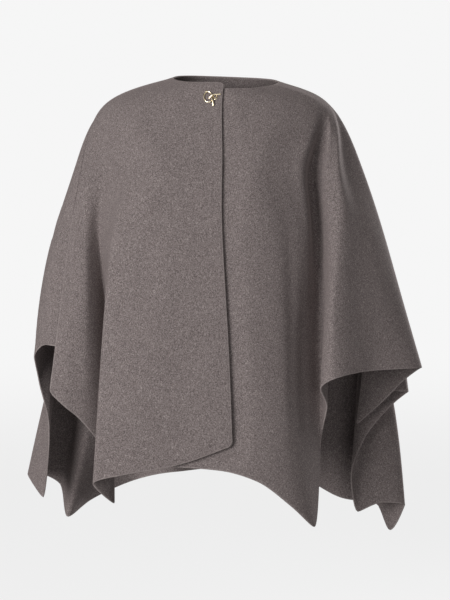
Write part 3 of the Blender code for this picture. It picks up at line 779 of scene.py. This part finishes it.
def seam_threads(cloth):
    """Short threads that lie across the groove of each seam, from the neck to the slit."""
    runs = []
    slit = cloth.rows_above_slit
    lift = cloth.thickness / 2 - cloth.thread_radius * STITCH_SUNK
    for name in ("front_right", "front_left"):
        laid = laid_panel(name)
        edge = laid.grid[-1, :slit + 1]
        normals = laid.normals[-1, :slit + 1]
        inward = laid.grid[-3, :slit + 1] - edge
        lengths = run_lengths(edge)
        spots = np.arange(cloth.thread_spacing, lengths[-1] - cloth.thread_spacing / 2, cloth.thread_spacing)
        for spot in spots:
            where = np.interp(spot, lengths, np.arange(slit + 1))
            index = min(int(where), slit - 1)
            share = where - index
            place = edge[index] * (1 - share) + edge[index + 1] * share
            normal = normals[index] * (1 - share) + normals[index + 1] * share
            across = inward[index] - normal * inward[index].dot(normal)
            across /= np.linalg.norm(across)
            down = edge[index + 1] - edge[index]
            down /= np.linalg.norm(down)
            steps = np.linspace(-1.0, 1.0, STITCH_POINTS)
            points = [place + (across + STITCH_SLANT * down) * step * cloth.thread_reach
                      + normal * (lift - STITCH_DIVE * abs(step) ** 3) for step in steps]
            radii = [cloth.thread_radius * (1.0 - STITCH_TAPER * abs(step) ** 4) for step in steps]
            runs.append((points, radii, False))
    return tube_mesh("seam_threads", runs, STITCH_SIDES)


# ---------------------------------------------------------------- node groups and materials

# Scale along each axis, where less than 1 draws the grain out; cells to the metre; finer layers and
# how strongly they show
Noise = namedtuple("Noise", "stretch scale detail roughness")
FIBRES = Noise((1.0, 1.0, 0.8), 570.0, 1.0, 0.5)
FLECKS = Noise((1.0, 1.0, 0.9), 590.0, 1.0, 0.5)
DARK_FLECKS = Noise((1.0, 1.0, 0.85), 640.0, 1.0, 0.5)
NAP = Noise((1.0, 1.0, 0.5), 330.0, 2.0, 0.5)
CLOUDS = Noise((1.0, 1.0, 0.6), 26.0, 3.0, 0.5)
RUBBED_PATCHES = Noise((1.0, 1.0, 1.0), 260.0, 3.0, 0.6)
SCRATCHES = Noise((1.0, 0.2, 0.35), 2600.0, 2.0, 0.6)

PAINTED_HIGHLIGHT_WIDTH = 0.0026       # from the free edge to where the painted highlight along it ends
# how far the colour is lightened at the free edge: painted highlight
PAINTED_HIGHLIGHT_SHARE = 0.42
GROOVE_HALF_WIDTH = 0.0022    # of the line that the pressed band leaves
# how far the colour in the groove is darkened: painted shade
GROOVE_PAINTED_SHADE = 0.10

FINISH_OUTPUTS = (
    ("Color", "NodeSocketColor"),
    ("Height", "NodeSocketFloat"),
    ("Roughness", "NodeSocketFloat"),
)
NODES_IN_A_ROW = 8
NODE_WIDTH = 200
NODE_HEIGHT = 300


def new_group(name, inputs, outputs):
    """An empty shader node group with named sockets; each is (name, type, default)."""
    group = bpy.data.node_groups.new(name, "ShaderNodeTree")
    for label, kind, default in inputs:
        socket = group.interface.new_socket(label, in_out="INPUT", socket_type=kind)
        if default is not None:
            socket.default_value = default
    for label, kind in outputs:
        group.interface.new_socket(label, in_out="OUTPUT", socket_type=kind)
    return group


def add_node(tree, kind, values=None, **settings):
    """A node with its settings and the values of its unlinked inputs, set out in rows."""
    row, column = divmod(len(tree.nodes), NODES_IN_A_ROW)
    node = tree.nodes.new(kind)
    node.location = (column * NODE_WIDTH, -row * NODE_HEIGHT)
    for label, value in settings.items():
        setattr(node, label, value)
    for label, value in (values or {}).items():
        node.inputs[label].default_value = value
    return node


def grain(tree, place, noise):
    """One layer of noise; gives its factor."""
    mapping = add_node(tree, "ShaderNodeMapping", {"Scale": noise.stretch})
    tree.links.new(place, mapping.inputs["Vector"])
    node = add_node(tree, "ShaderNodeTexNoise",
                    {"Scale": noise.scale, "Detail": noise.detail, "Roughness": noise.roughness})
    tree.links.new(mapping.outputs["Vector"], node.inputs["Vector"])
    return node.outputs["Fac"]


def ranged(tree, value, low, high, to_low=0.0, to_high=1.0):
    """A value's range stretched to a new one, with soft ends."""
    node = add_node(tree, "ShaderNodeMapRange", {
        "From Min": low, "From Max": high, "To Min": to_low, "To Max": to_high,
    }, interpolation_type="SMOOTHSTEP")
    tree.links.new(value, node.inputs["Value"])
    return node.outputs["Result"]


def feed_socket(tree, socket, value):
    """Sets an input to a number or colour, or links it to a socket."""
    if isinstance(value, (int, float, tuple)):
        socket.default_value = value
    else:
        tree.links.new(value, socket)


def maths(tree, operation, first, second=0.0):
    """Maths on two values, each a socket or a number."""
    node = add_node(tree, "ShaderNodeMath", operation=operation)
    feed_socket(tree, node.inputs[0], first)
    feed_socket(tree, node.inputs[1], second)
    return node.outputs[0]


def tint(tree, factor, first, second, blend="MIX"):
    """A mix of two colours, each a socket or a colour."""
    node = add_node(tree, "ShaderNodeMix", data_type="RGBA", blend_type=blend)
    sockets = {socket.name: socket for socket in node.inputs if socket.enabled}
    for label, value in (("Factor", factor), ("A", first), ("B", second)):
        feed_socket(tree, sockets[label], value)
    return next(socket for socket in node.outputs if socket.enabled)


def brushed_wool_group():
    """Mixed fibres laid down the cloth, a raised nap, a pressed band along the edges with painted shade in
    its groove, and a painted highlight along the free edges.
    """
    name = "brushed wool"
    if name in bpy.data.node_groups:
        return bpy.data.node_groups[name]
    group = new_group(name, (
        ("Place", "NodeSocketVector", None),
        ("Body", "NodeSocketColor", None),
        ("Pale Fibre", "NodeSocketColor", None),
        ("Dark Fibre", "NodeSocketColor", None),
        ("Free Edge", "NodeSocketFloat", NO_EDGE),
        ("Front Edge", "NodeSocketFloat", NO_EDGE),
        ("Band Width", "NodeSocketFloat", 0.016),
        ("Mixture", "NodeSocketFloat", 1.0),
    ), FINISH_OUTPUTS)
    given = add_node(group, "NodeGroupInput").outputs
    fibres, flecks, dark_flecks, nap, clouds = (
        grain(group, given["Place"], noise) for noise in (FIBRES, FLECKS, DARK_FLECKS, NAP, CLOUDS))

    pale = maths(group, "MULTIPLY", ranged(group, flecks, 0.46, 0.70), given["Mixture"])
    dark = maths(group, "MULTIPLY", ranged(group, dark_flecks, 0.44, 0.68), given["Mixture"])
    colour = tint(group, pale, given["Body"], given["Pale Fibre"])
    colour = tint(group, dark, colour, given["Dark Fibre"])
    shade = ranged(group, fibres, 0.28, 0.72, 0.80, 1.20)
    shade = maths(group, "MULTIPLY", shade, ranged(group, nap, 0.3, 0.7, 0.95, 1.05))
    shade = maths(group, "MULTIPLY", shade, ranged(group, clouds, 0.3, 0.7, 0.97, 1.03))
    grey = add_node(group, "ShaderNodeCombineColor")
    for channel in ("Red", "Green", "Blue"):
        group.links.new(shade, grey.inputs[channel])
    colour = tint(group, 1.0, colour, grey.outputs["Color"], "MULTIPLY")

    # Painted highlight: near each free edge the colour is drawn towards the pale fibre colour, as a lit cut
    # edge would look.
    rim = ranged(group, given["Free Edge"], 0.0, PAINTED_HIGHLIGHT_WIDTH, 1.0, 0.0)
    colour = tint(group, maths(group, "MULTIPLY", rim, PAINTED_HIGHLIGHT_SHARE), colour, given["Pale Fibre"])

    # The pressed band: a shallow groove at its own width from the edge, most along the fronts, set in the
    # height, with painted shade that darkens its colour.
    away = maths(group, "SUBTRACT", given["Free Edge"], given["Band Width"])
    groove = ranged(group, maths(group, "ABSOLUTE", away), 0.0, GROOVE_HALF_WIDTH, 1.0, 0.0)
    along_front = ranged(group, given["Front Edge"], 0.012, 0.030, 1.0, 0.35)
    groove = maths(group, "MULTIPLY", groove, along_front)
    # Painted shade in the groove: the colour is drawn towards the dark fibre colour.
    colour = tint(group, maths(group, "MULTIPLY", groove, GROOVE_PAINTED_SHADE), colour, given["Dark Fibre"])

    height = maths(group, "MULTIPLY", fibres, 0.55)
    for layer, share in ((flecks, 0.35), (nap, 0.45)):
        height = maths(group, "ADD", height, maths(group, "MULTIPLY", layer, share))
    height = maths(group, "SUBTRACT", height, maths(group, "MULTIPLY", groove, 0.6))
    return close_group(group, colour, height, ranged(group, nap, 0.3, 0.7, 0.86, 0.98))


def handled_metal_group():
    """Small tone shifts, rubbed patches and fine scratches of metal that is handled."""
    name = "handled metal"
    if name in bpy.data.node_groups:
        return bpy.data.node_groups[name]
    group = new_group(name, (
        ("Place", "NodeSocketVector", None),
        ("Metal", "NodeSocketColor", None),
        ("Rubbed", "NodeSocketColor", None),
        ("Polish", "NodeSocketFloat", None),
    ), FINISH_OUTPUTS)
    given = add_node(group, "NodeGroupInput").outputs
    patches = grain(group, given["Place"], RUBBED_PATCHES)
    colour = tint(group, ranged(group, patches, 0.42, 0.68), given["Metal"], given["Rubbed"])
    rough = maths(group, "ADD", given["Polish"], ranged(group, patches, 0.3, 0.7, -0.05, 0.08))
    return close_group(group, colour, grain(group, given["Place"], SCRATCHES), rough)


def close_group(group, colour, height, roughness):
    """Joins a finish group's results to its outputs."""
    result = add_node(group, "NodeGroupOutput")
    for label, value in zip(("Color", "Height", "Roughness"), (colour, height, roughness)):
        group.links.new(value, result.inputs[label])
    return group


def new_material(name):
    material = bpy.data.materials.new(name)
    material.use_nodes = True
    return material, material.node_tree, material.node_tree.nodes["Principled BSDF"]


def opaque(colour):
    return (*colour, 1.0)


def finished_material(name, group, values, looks, bump, shift=0.0):
    """A material from a finish group; the shift sets its grain apart from its neighbours'."""
    material, tree, shader = new_material(name)
    place = add_node(tree, "ShaderNodeTexCoord")
    moved = add_node(tree, "ShaderNodeMapping", {"Location": (shift, shift * 0.7, shift * 0.3)})
    finish = add_node(tree, "ShaderNodeGroup", node_tree=group)
    relief = add_node(tree, "ShaderNodeBump", {"Strength": bump[0], "Distance": bump[1]})
    for label, value in values.items():
        finish.inputs[label].default_value = value
    for label, value in looks.items():
        shader.inputs[label].default_value = value
    for source, target in (
        (place.outputs["Object"], moved.inputs["Vector"]),
        (moved.outputs["Vector"], finish.inputs["Place"]),
        (finish.outputs["Height"], relief.inputs["Height"]),
        (finish.outputs["Color"], shader.inputs["Base Color"]),
        (finish.outputs["Roughness"], shader.inputs["Roughness"]),
        (relief.outputs["Normal"], shader.inputs["Normal"]),
    ):
        tree.links.new(source, target)
    return material, tree, finish


def wool_material(name, cloth, shift):
    """Brushed double-faced wool, with its edges taken from the cloth's attributes."""
    material, tree, wool = finished_material(name, brushed_wool_group(), {
        "Body": opaque(cloth.body_colour),
        "Pale Fibre": opaque(cloth.pale_colour),
        "Dark Fibre": opaque(cloth.dark_colour),
        "Band Width": cloth.band_width,
        "Mixture": cloth.mixture,
    }, {
        "Sheen Weight": 0.18,
        "Sheen Roughness": 0.55,
        "Sheen Tint": (0.90, 0.75, 0.72, 1.0),
        "Specular IOR Level": 0.18,
    }, (0.22, cloth.nap_height), shift)
    for label, attribute in (("Free Edge", "free_edge"), ("Front Edge", "front_edge")):
        reader = add_node(tree, "ShaderNodeAttribute", attribute_name=attribute)
        tree.links.new(reader.outputs["Fac"], wool.inputs[label])
    return material


def thread_material(cloth):
    """Matt sewing thread in a darker tone of the cloth."""
    return finished_material("sewing_thread", brushed_wool_group(), {
        "Body": opaque(channel * 0.8 for channel in cloth.body_colour),
        "Pale Fibre": opaque(cloth.pale_colour),
        "Dark Fibre": opaque(cloth.dark_colour),
    }, {"Specular IOR Level": 0.2}, (0.4, 0.0002))[0]


def gold_material(name, clasp):
    """Pale gold plating with small handling marks."""
    return finished_material(name, handled_metal_group(), {
        "Metal": opaque(clasp.metal_colour),
        "Rubbed": opaque(clasp.rubbed_colour),
        "Polish": clasp.polish,
    }, {"Metallic": 1.0}, (0.08, 0.0001))[0]


# ---------------------------------------------------------------- settings

class PonchoClothSettings(PropertyGroup):
    thickness: FloatProperty(
        name="Thickness", description="Thickness of the double-faced wool",
        default=0.0024, min=0.001, max=0.005, unit="LENGTH")
    column_step: FloatProperty(
        name="Column step", description="Spacing of the shell's columns along the hem",
        default=0.0055, min=0.003, max=0.03, unit="LENGTH")
    rows_above_slit: IntProperty(
        name="Rows above slit", description="Rows of the shell from the neck to the slits' tops",
        default=48, min=10, max=100)
    rows_below_slit: IntProperty(
        name="Rows below slit", description="Rows of the shell from the slits' tops to the hem",
        default=62, min=10, max=120)
    crease_strength: FloatProperty(
        name="Crease strength", description="How deep the soft creases are pressed",
        default=1.0, min=0.0, max=2.0, subtype="FACTOR")
    band_width: FloatProperty(
        name="Edge band", description="Width of the pressed band along the free edges",
        default=0.016, min=0.0, max=0.05, unit="LENGTH")
    nap_height: FloatProperty(
        name="Nap height", description="Height of the brushed surface",
        default=0.0005, min=0.0, max=0.003, unit="LENGTH")
    mixture: FloatProperty(
        name="Fibre mixture", description="How strongly pale and dark fibres show",
        default=0.65, min=0.0, max=1.0, subtype="FACTOR")
    body_colour: FloatVectorProperty(
        name="Body colour", description="Main colour of the wool",
        default=(0.177, 0.148, 0.144), subtype="COLOR", min=0.0, max=1.0)
    pale_colour: FloatVectorProperty(
        name="Pale fibres", description="Colour of the paler fibres and of the edges",
        default=(0.33, 0.285, 0.275), subtype="COLOR", min=0.0, max=1.0)
    dark_colour: FloatVectorProperty(
        name="Dark fibres", description="Colour of the darker fibres",
        default=(0.070, 0.054, 0.052), subtype="COLOR", min=0.0, max=1.0)
    thread_radius: FloatProperty(
        name="Thread radius", description="Radius of the sewing thread",
        default=0.00022, min=0.0001, max=0.001, unit="LENGTH")
    thread_spacing: FloatProperty(
        name="Stitch spacing", description="Distance between the stitches along a seam",
        default=0.0034, min=0.001, max=0.02, unit="LENGTH")
    thread_reach: FloatProperty(
        name="Stitch reach", description="How far a stitch reaches to each side of its seam",
        default=0.0015, min=0.0005, max=0.01, unit="LENGTH")


class PonchoClaspSettings(PropertyGroup):
    metal_colour: FloatVectorProperty(
        name="Metal colour", description="Colour of the plating",
        default=(0.80, 0.68, 0.47), subtype="COLOR", min=0.0, max=1.0)
    rubbed_colour: FloatVectorProperty(
        name="Rubbed colour", description="Colour of the plating where it is handled",
        default=(0.92, 0.84, 0.68), subtype="COLOR", min=0.0, max=1.0)
    polish: FloatProperty(
        name="Roughness", description="Roughness of the metal, lower is more polished",
        default=0.16, min=0.02, max=1.0, subtype="FACTOR")
    sides: IntProperty(
        name="Sides", description="Sides of the rods and rings",
        default=28, min=8, max=64)


class PonchoStageSettings(PropertyGroup):
    floor_height: FloatProperty(
        name="Floor height", description="Height of the floor, from the neck",
        default=-1.42, unit="LENGTH")
    camera_distance: FloatProperty(
        name="Camera distance", description="Distance of the camera from the neck's plane",
        default=3.4, min=1.0, max=10.0, unit="LENGTH")
    camera_height: FloatProperty(
        name="Camera height", description="Height of the camera, which looks level",
        default=-0.3815, unit="LENGTH")
    camera_across: FloatProperty(
        name="Camera across", description="How far the camera stands to the wearer's left",
        default=-0.00175, unit="LENGTH")
    frame_height: FloatProperty(
        name="Frame height", description="Height that the picture takes in at the neck's plane",
        default=1.05, min=0.1, max=10.0, unit="LENGTH")
    key_power: FloatProperty(
        name="Key light", description="Power of the soft light from the front, on the wearer's right",
        default=168.0, min=0.0, unit="POWER")
    fill_power: FloatProperty(
        name="Fill light", description="Power of the low soft light beside the camera",
        default=26.0, min=0.0, unit="POWER")
    top_power: FloatProperty(
        name="Top light", description="Power of the wide light above the garment",
        default=8.0, min=0.0, unit="POWER")
    back_power: FloatProperty(
        name="Back light", description="Power of the soft light on the back of the garment",
        default=160.0, min=0.0, unit="POWER")
    air_glow: FloatProperty(
        name="Air glow", description="Even light that reaches the garment from all round",
        default=0.135, min=0.0)
    floor_glow: FloatProperty(
        name="Floor glow", description="Brightness of the floor as the camera sees it",
        default=0.84, min=0.0)
    wall_glow: FloatProperty(
        name="Wall glow", description="Brightness of the upturned rim as the camera sees it",
        default=0.911, min=0.0)
    backdrop_colour: FloatVectorProperty(
        name="Backdrop colour", description="Colour of the floor and its upturned rim",
        default=(0.04, 0.04, 0.04), subtype="COLOR", min=0.0, max=1.0)


# ---------------------------------------------------------------- operators

def lay_panel_piece(name, material_name, shift):
    """A panel's shell in its wool."""
    cloth = bpy.context.scene.poncho_cloth
    piece = cloth_shell(name, cloth)
    piece.data.materials.append(wool_material(material_name, cloth, shift))
    return piece


class PONCHO_OT_front_right(Operator):
    """Lay the right front, which laps over the left one"""
    bl_idname = "poncho.front_right"
    bl_label = "Right front"

    def execute(self, context):
        piece = lay_panel_piece("front_right", "right_front_wool", 0.0)
        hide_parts("front_right")
        return {"FINISHED"}


class PONCHO_OT_front_left(Operator):
    """Lay the left front with its hidden underlap"""
    bl_idname = "poncho.front_left"
    bl_label = "Left front"

    def execute(self, context):
        piece = lay_panel_piece("front_left", "left_front_wool", 3.1)
        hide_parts("front_left")
        return {"FINISHED"}


class PONCHO_OT_back(Operator):
    """Lay the back, cut in one with a wing over each arm"""
    bl_idname = "poncho.back"
    bl_label = "Back"

    def execute(self, context):
        piece = lay_panel_piece("back", "back_cloth_wool", 7.7)
        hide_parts("back")
        return {"FINISHED"}


class PONCHO_OT_seam_threads(Operator):
    """Sew the seams from the neck down to the slits"""
    bl_idname = "poncho.seam_threads"
    bl_label = "Seam threads"

    def execute(self, context):
        cloth = context.scene.poncho_cloth
        piece = add_piece("seam_threads", seam_threads(cloth))
        piece.data.materials.append(thread_material(cloth))
        return {"FINISHED"}


class PONCHO_OT_clasp(Operator):
    """Make the ring, its stud, the toggle, its pull, the link and the post"""
    bl_idname = "poncho.clasp"
    bl_label = "Clasp"

    def execute(self, context):
        clasp = context.scene.poncho_clasp
        laid = laid_panel("front_right")
        cover = surface_tree(laid.grid, laid.outward)
        ring_lift = RING_WIRE + METAL_GAP
        ring = oval(cover, RING_ACROSS, RING_UP, RING_HALF_WIDTH, RING_HALF_HEIGHT, RING_LEAN, ring_lift,
                    RING_POINTS)
        link_lift = LINK_WIRE + METAL_GAP
        link = oval(cover, LINK_ACROSS, LINK_UP, LINK_HALF_WIDTH, LINK_HALF_HEIGHT, 0.0, link_lift,
                    LINK_POINTS)
        turn = math.radians(STUD_TURN)
        lean = math.radians(STUD_TURN - RING_LEAN)
        reach = RING_HALF_WIDTH * RING_HALF_HEIGHT / math.hypot(
            RING_HALF_HEIGHT * math.sin(lean), RING_HALF_WIDTH * math.cos(lean))
        stud = arch(cover, RING_ACROSS - reach * math.sin(turn), RING_UP + reach * math.cos(turn), STUD_TURN,
                    RING_WIRE + METAL_GAP + STUD_WIRE, ring_lift, STUD_POINTS)
        post = [on_cloth(cover, bend.across * MM, bend.up * MM, bend.lift * MM) for bend in POST]
        runs = {
            "clasp_ring": (smooth_closed(ring, RING_ROUNDS), [RING_WIRE] * len(ring), True),
            "clasp_ring_stud": (stud, [STUD_WIRE] * len(stud), False),
            "clasp_toggle": (*rounded_rod(cover, TOGGLE, TOGGLE_POINTS), False),
            "clasp_pull": (*rounded_rod(cover, PULL, PULL_POINTS), False),
            "clasp_link": (smooth_closed(link, LINK_ROUNDS), [LINK_WIRE] * len(link), True),
            "clasp_post": (post, [bend.radius * MM for bend in POST], False),
        }
        for node, run in runs.items():
            piece = add_piece(node + "_metal", tube_mesh(node + "_metal", [run], clasp.sides))
            piece.data.materials.append(gold_material(node + "_plating", clasp))
            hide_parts(node)
        return {"FINISHED"}


FLOOR_RADIUS = 7.4
FLOOR_BEND = 1.8          # radius in which the floor turns up
FLOOR_RIM = 7.0           # height of the upturned rim
FLOOR_SIDES = 96
GLOW_RISE = 0.7           # height over which the floor's glow turns to the rim's

# The soft lights: place, width of the square, and the setting that gives their power
Lamp = namedtuple("Lamp", "name place size power")
LAMPS = (
    Lamp("key_light", (-2.6, -3.4, 0.05), 2.0, "key_power"),
    Lamp("fill_light", (0.9, -4.3, -0.75), 1.4, "fill_power"),
    Lamp("top_light", (-0.4, -0.2, 3.2), 2.4, "top_power"),
    Lamp("back_light", (2.9, 3.0, 0.6), 1.6, "back_power"),
)
LAMPS_AIM = Vector((0.0, 0.0, -0.35))


class PONCHO_OT_stage(Operator):
    """Set up the floor, the soft lights and the camera"""
    bl_idname = "poncho.stage"
    bl_label = "Stage"

    def execute(self, context):
        stage = context.scene.poncho_stage
        self.floor(stage)
        self.lights(context, stage)
        self.camera(context, stage)
        context.scene.view_settings.view_transform = "Standard"
        return {"FINISHED"}

    def floor(self, stage):
        """A round pale floor whose rim turns up all round, so that it has no edge in any view."""
        profile = [(radius, 0.0) for radius in np.linspace(0.0, FLOOR_RADIUS, 12)[1:]]
        profile += [(FLOOR_RADIUS + FLOOR_BEND * math.sin(angle), FLOOR_BEND * (1 - math.cos(angle)))
                    for angle in np.linspace(0, math.pi / 2, 16)[1:]]
        profile += [(FLOOR_RADIUS + FLOOR_BEND, height)
                    for height in np.linspace(FLOOR_BEND, FLOOR_RIM, 6)[1:]]
        verts = [(0.0, 0.0, stage.floor_height)]
        for radius, height in profile:
            for angle in np.arange(FLOOR_SIDES) * 2 * math.pi / FLOOR_SIDES:
                around = (radius * math.cos(angle), radius * math.sin(angle))
                verts.append((*around, stage.floor_height + height))
        faces = [(0, 1 + j, 1 + (j + 1) % FLOOR_SIDES) for j in range(FLOOR_SIDES)]
        for i in range(len(profile) - 1):
            here, there = 1 + i * FLOOR_SIDES, 1 + (i + 1) * FLOOR_SIDES
            for j in range(FLOOR_SIDES):
                other = (j + 1) % FLOOR_SIDES
                faces.append((here + j, there + j, there + other, here + other))
        mesh = smooth_mesh("studio_floor", verts, faces)
        floor = bpy.data.objects.new("studio_floor", mesh)
        bpy.context.scene.collection.objects.link(floor)
        mesh.materials.append(self.paper(stage))

    def paper(self, stage):
        """Pale paper that glows evenly to the eye, and only faintly on to the garment."""
        material, tree, shader = new_material("studio_paper")
        place = add_node(tree, "ShaderNodeNewGeometry")
        split = add_node(tree, "ShaderNodeSeparateXYZ")
        tree.links.new(place.outputs["Position"], split.inputs["Vector"])
        floor = stage.floor_height
        seen = ranged(tree, split.outputs["Z"], floor, floor + GLOW_RISE, stage.floor_glow, stage.wall_glow)
        eye = add_node(tree, "ShaderNodeLightPath").outputs
        glow = add_node(tree, "ShaderNodeMix", {"A": stage.air_glow}, data_type="FLOAT")
        seen_straight = maths(tree, "MAXIMUM", eye["Is Camera Ray"], eye["Is Glossy Ray"])
        tree.links.new(seen_straight, glow.inputs["Factor"])
        tree.links.new(seen, glow.inputs["B"])
        tree.links.new(glow.outputs["Result"], shader.inputs["Emission Strength"])
        shader.inputs["Emission Color"].default_value = (1.0, 1.0, 1.0, 1.0)
        shader.inputs["Base Color"].default_value = (*stage.backdrop_colour, 1.0)
        shader.inputs["Roughness"].default_value = 0.95
        shader.inputs["Specular IOR Level"].default_value = 0.0
        return material

    def lights(self, context, stage):
        world = bpy.data.worlds.new("studio_air")
        world.use_nodes = True
        air = world.node_tree.nodes["Background"].inputs
        air["Color"].default_value = (1.0, 1.0, 1.0, 1.0)
        air["Strength"].default_value = stage.air_glow
        context.scene.world = world
        for lamp in LAMPS:
            light = bpy.data.lights.new(lamp.name, "AREA")
            light.shape = "SQUARE"
            light.size = lamp.size
            light.energy = getattr(stage, lamp.power)
            holder = bpy.data.objects.new(lamp.name, light)
            holder.location = lamp.place
            holder.rotation_euler = (LAMPS_AIM - Vector(lamp.place)).to_track_quat("-Z", "Y").to_euler()
            context.scene.collection.objects.link(holder)

    def camera(self, context, stage):
        data = bpy.data.cameras.new("camera")
        data.sensor_width = 36.0
        data.lens = data.sensor_width * stage.camera_distance / stage.frame_height
        data.clip_end = 100.0
        camera = bpy.data.objects.new("camera", data)
        camera.location = (stage.camera_across, -stage.camera_distance, stage.camera_height)
        camera.rotation_euler = (math.radians(90), 0.0, 0.0)
        context.scene.collection.objects.link(camera)
        context.scene.camera = camera


class PONCHO_PT_pieces(Panel):
    """The poncho's pieces and their settings"""
    bl_idname = "PONCHO_PT_pieces"
    bl_label = "Poncho"
    bl_space_type = "VIEW_3D"
    bl_region_type = "UI"
    bl_category = "Poncho"

    def draw(self, context):
        layout = self.layout
        for operator in OPERATORS:
            layout.operator(operator.bl_idname)
        for settings in (context.scene.poncho_cloth, context.scene.poncho_clasp, context.scene.poncho_stage):
            box = layout.box()
            for label in settings.bl_rna.properties.keys():
                if label not in {"rna_type", "name"}:
                    box.prop(settings, label)


SETTINGS = (PonchoClothSettings, PonchoClaspSettings, PonchoStageSettings)
OPERATORS = (
    PONCHO_OT_front_right,
    PONCHO_OT_front_left,
    PONCHO_OT_back,
    PONCHO_OT_seam_threads,
    PONCHO_OT_clasp,
    PONCHO_OT_stage,
)


def register():
    for item in (*SETTINGS, *OPERATORS, PONCHO_PT_pieces):
        bpy.utils.register_class(item)
    bpy.types.Scene.poncho_cloth = PointerProperty(type=PonchoClothSettings)
    bpy.types.Scene.poncho_clasp = PointerProperty(type=PonchoClaspSettings)
    bpy.types.Scene.poncho_stage = PointerProperty(type=PonchoStageSettings)


def unregister():
    del bpy.types.Scene.poncho_stage
    del bpy.types.Scene.poncho_clasp
    del bpy.types.Scene.poncho_cloth
    for item in reversed((*SETTINGS, *OPERATORS, PONCHO_PT_pieces)):
        bpy.utils.unregister_class(item)


def main():
    register()
    bpy.ops.poncho.front_right()
    bpy.ops.poncho.front_left()
    bpy.ops.poncho.back()
    bpy.ops.poncho.seam_threads()
    bpy.ops.poncho.clasp()
    bpy.ops.poncho.stage()


if __name__ == "__main__":
    main()
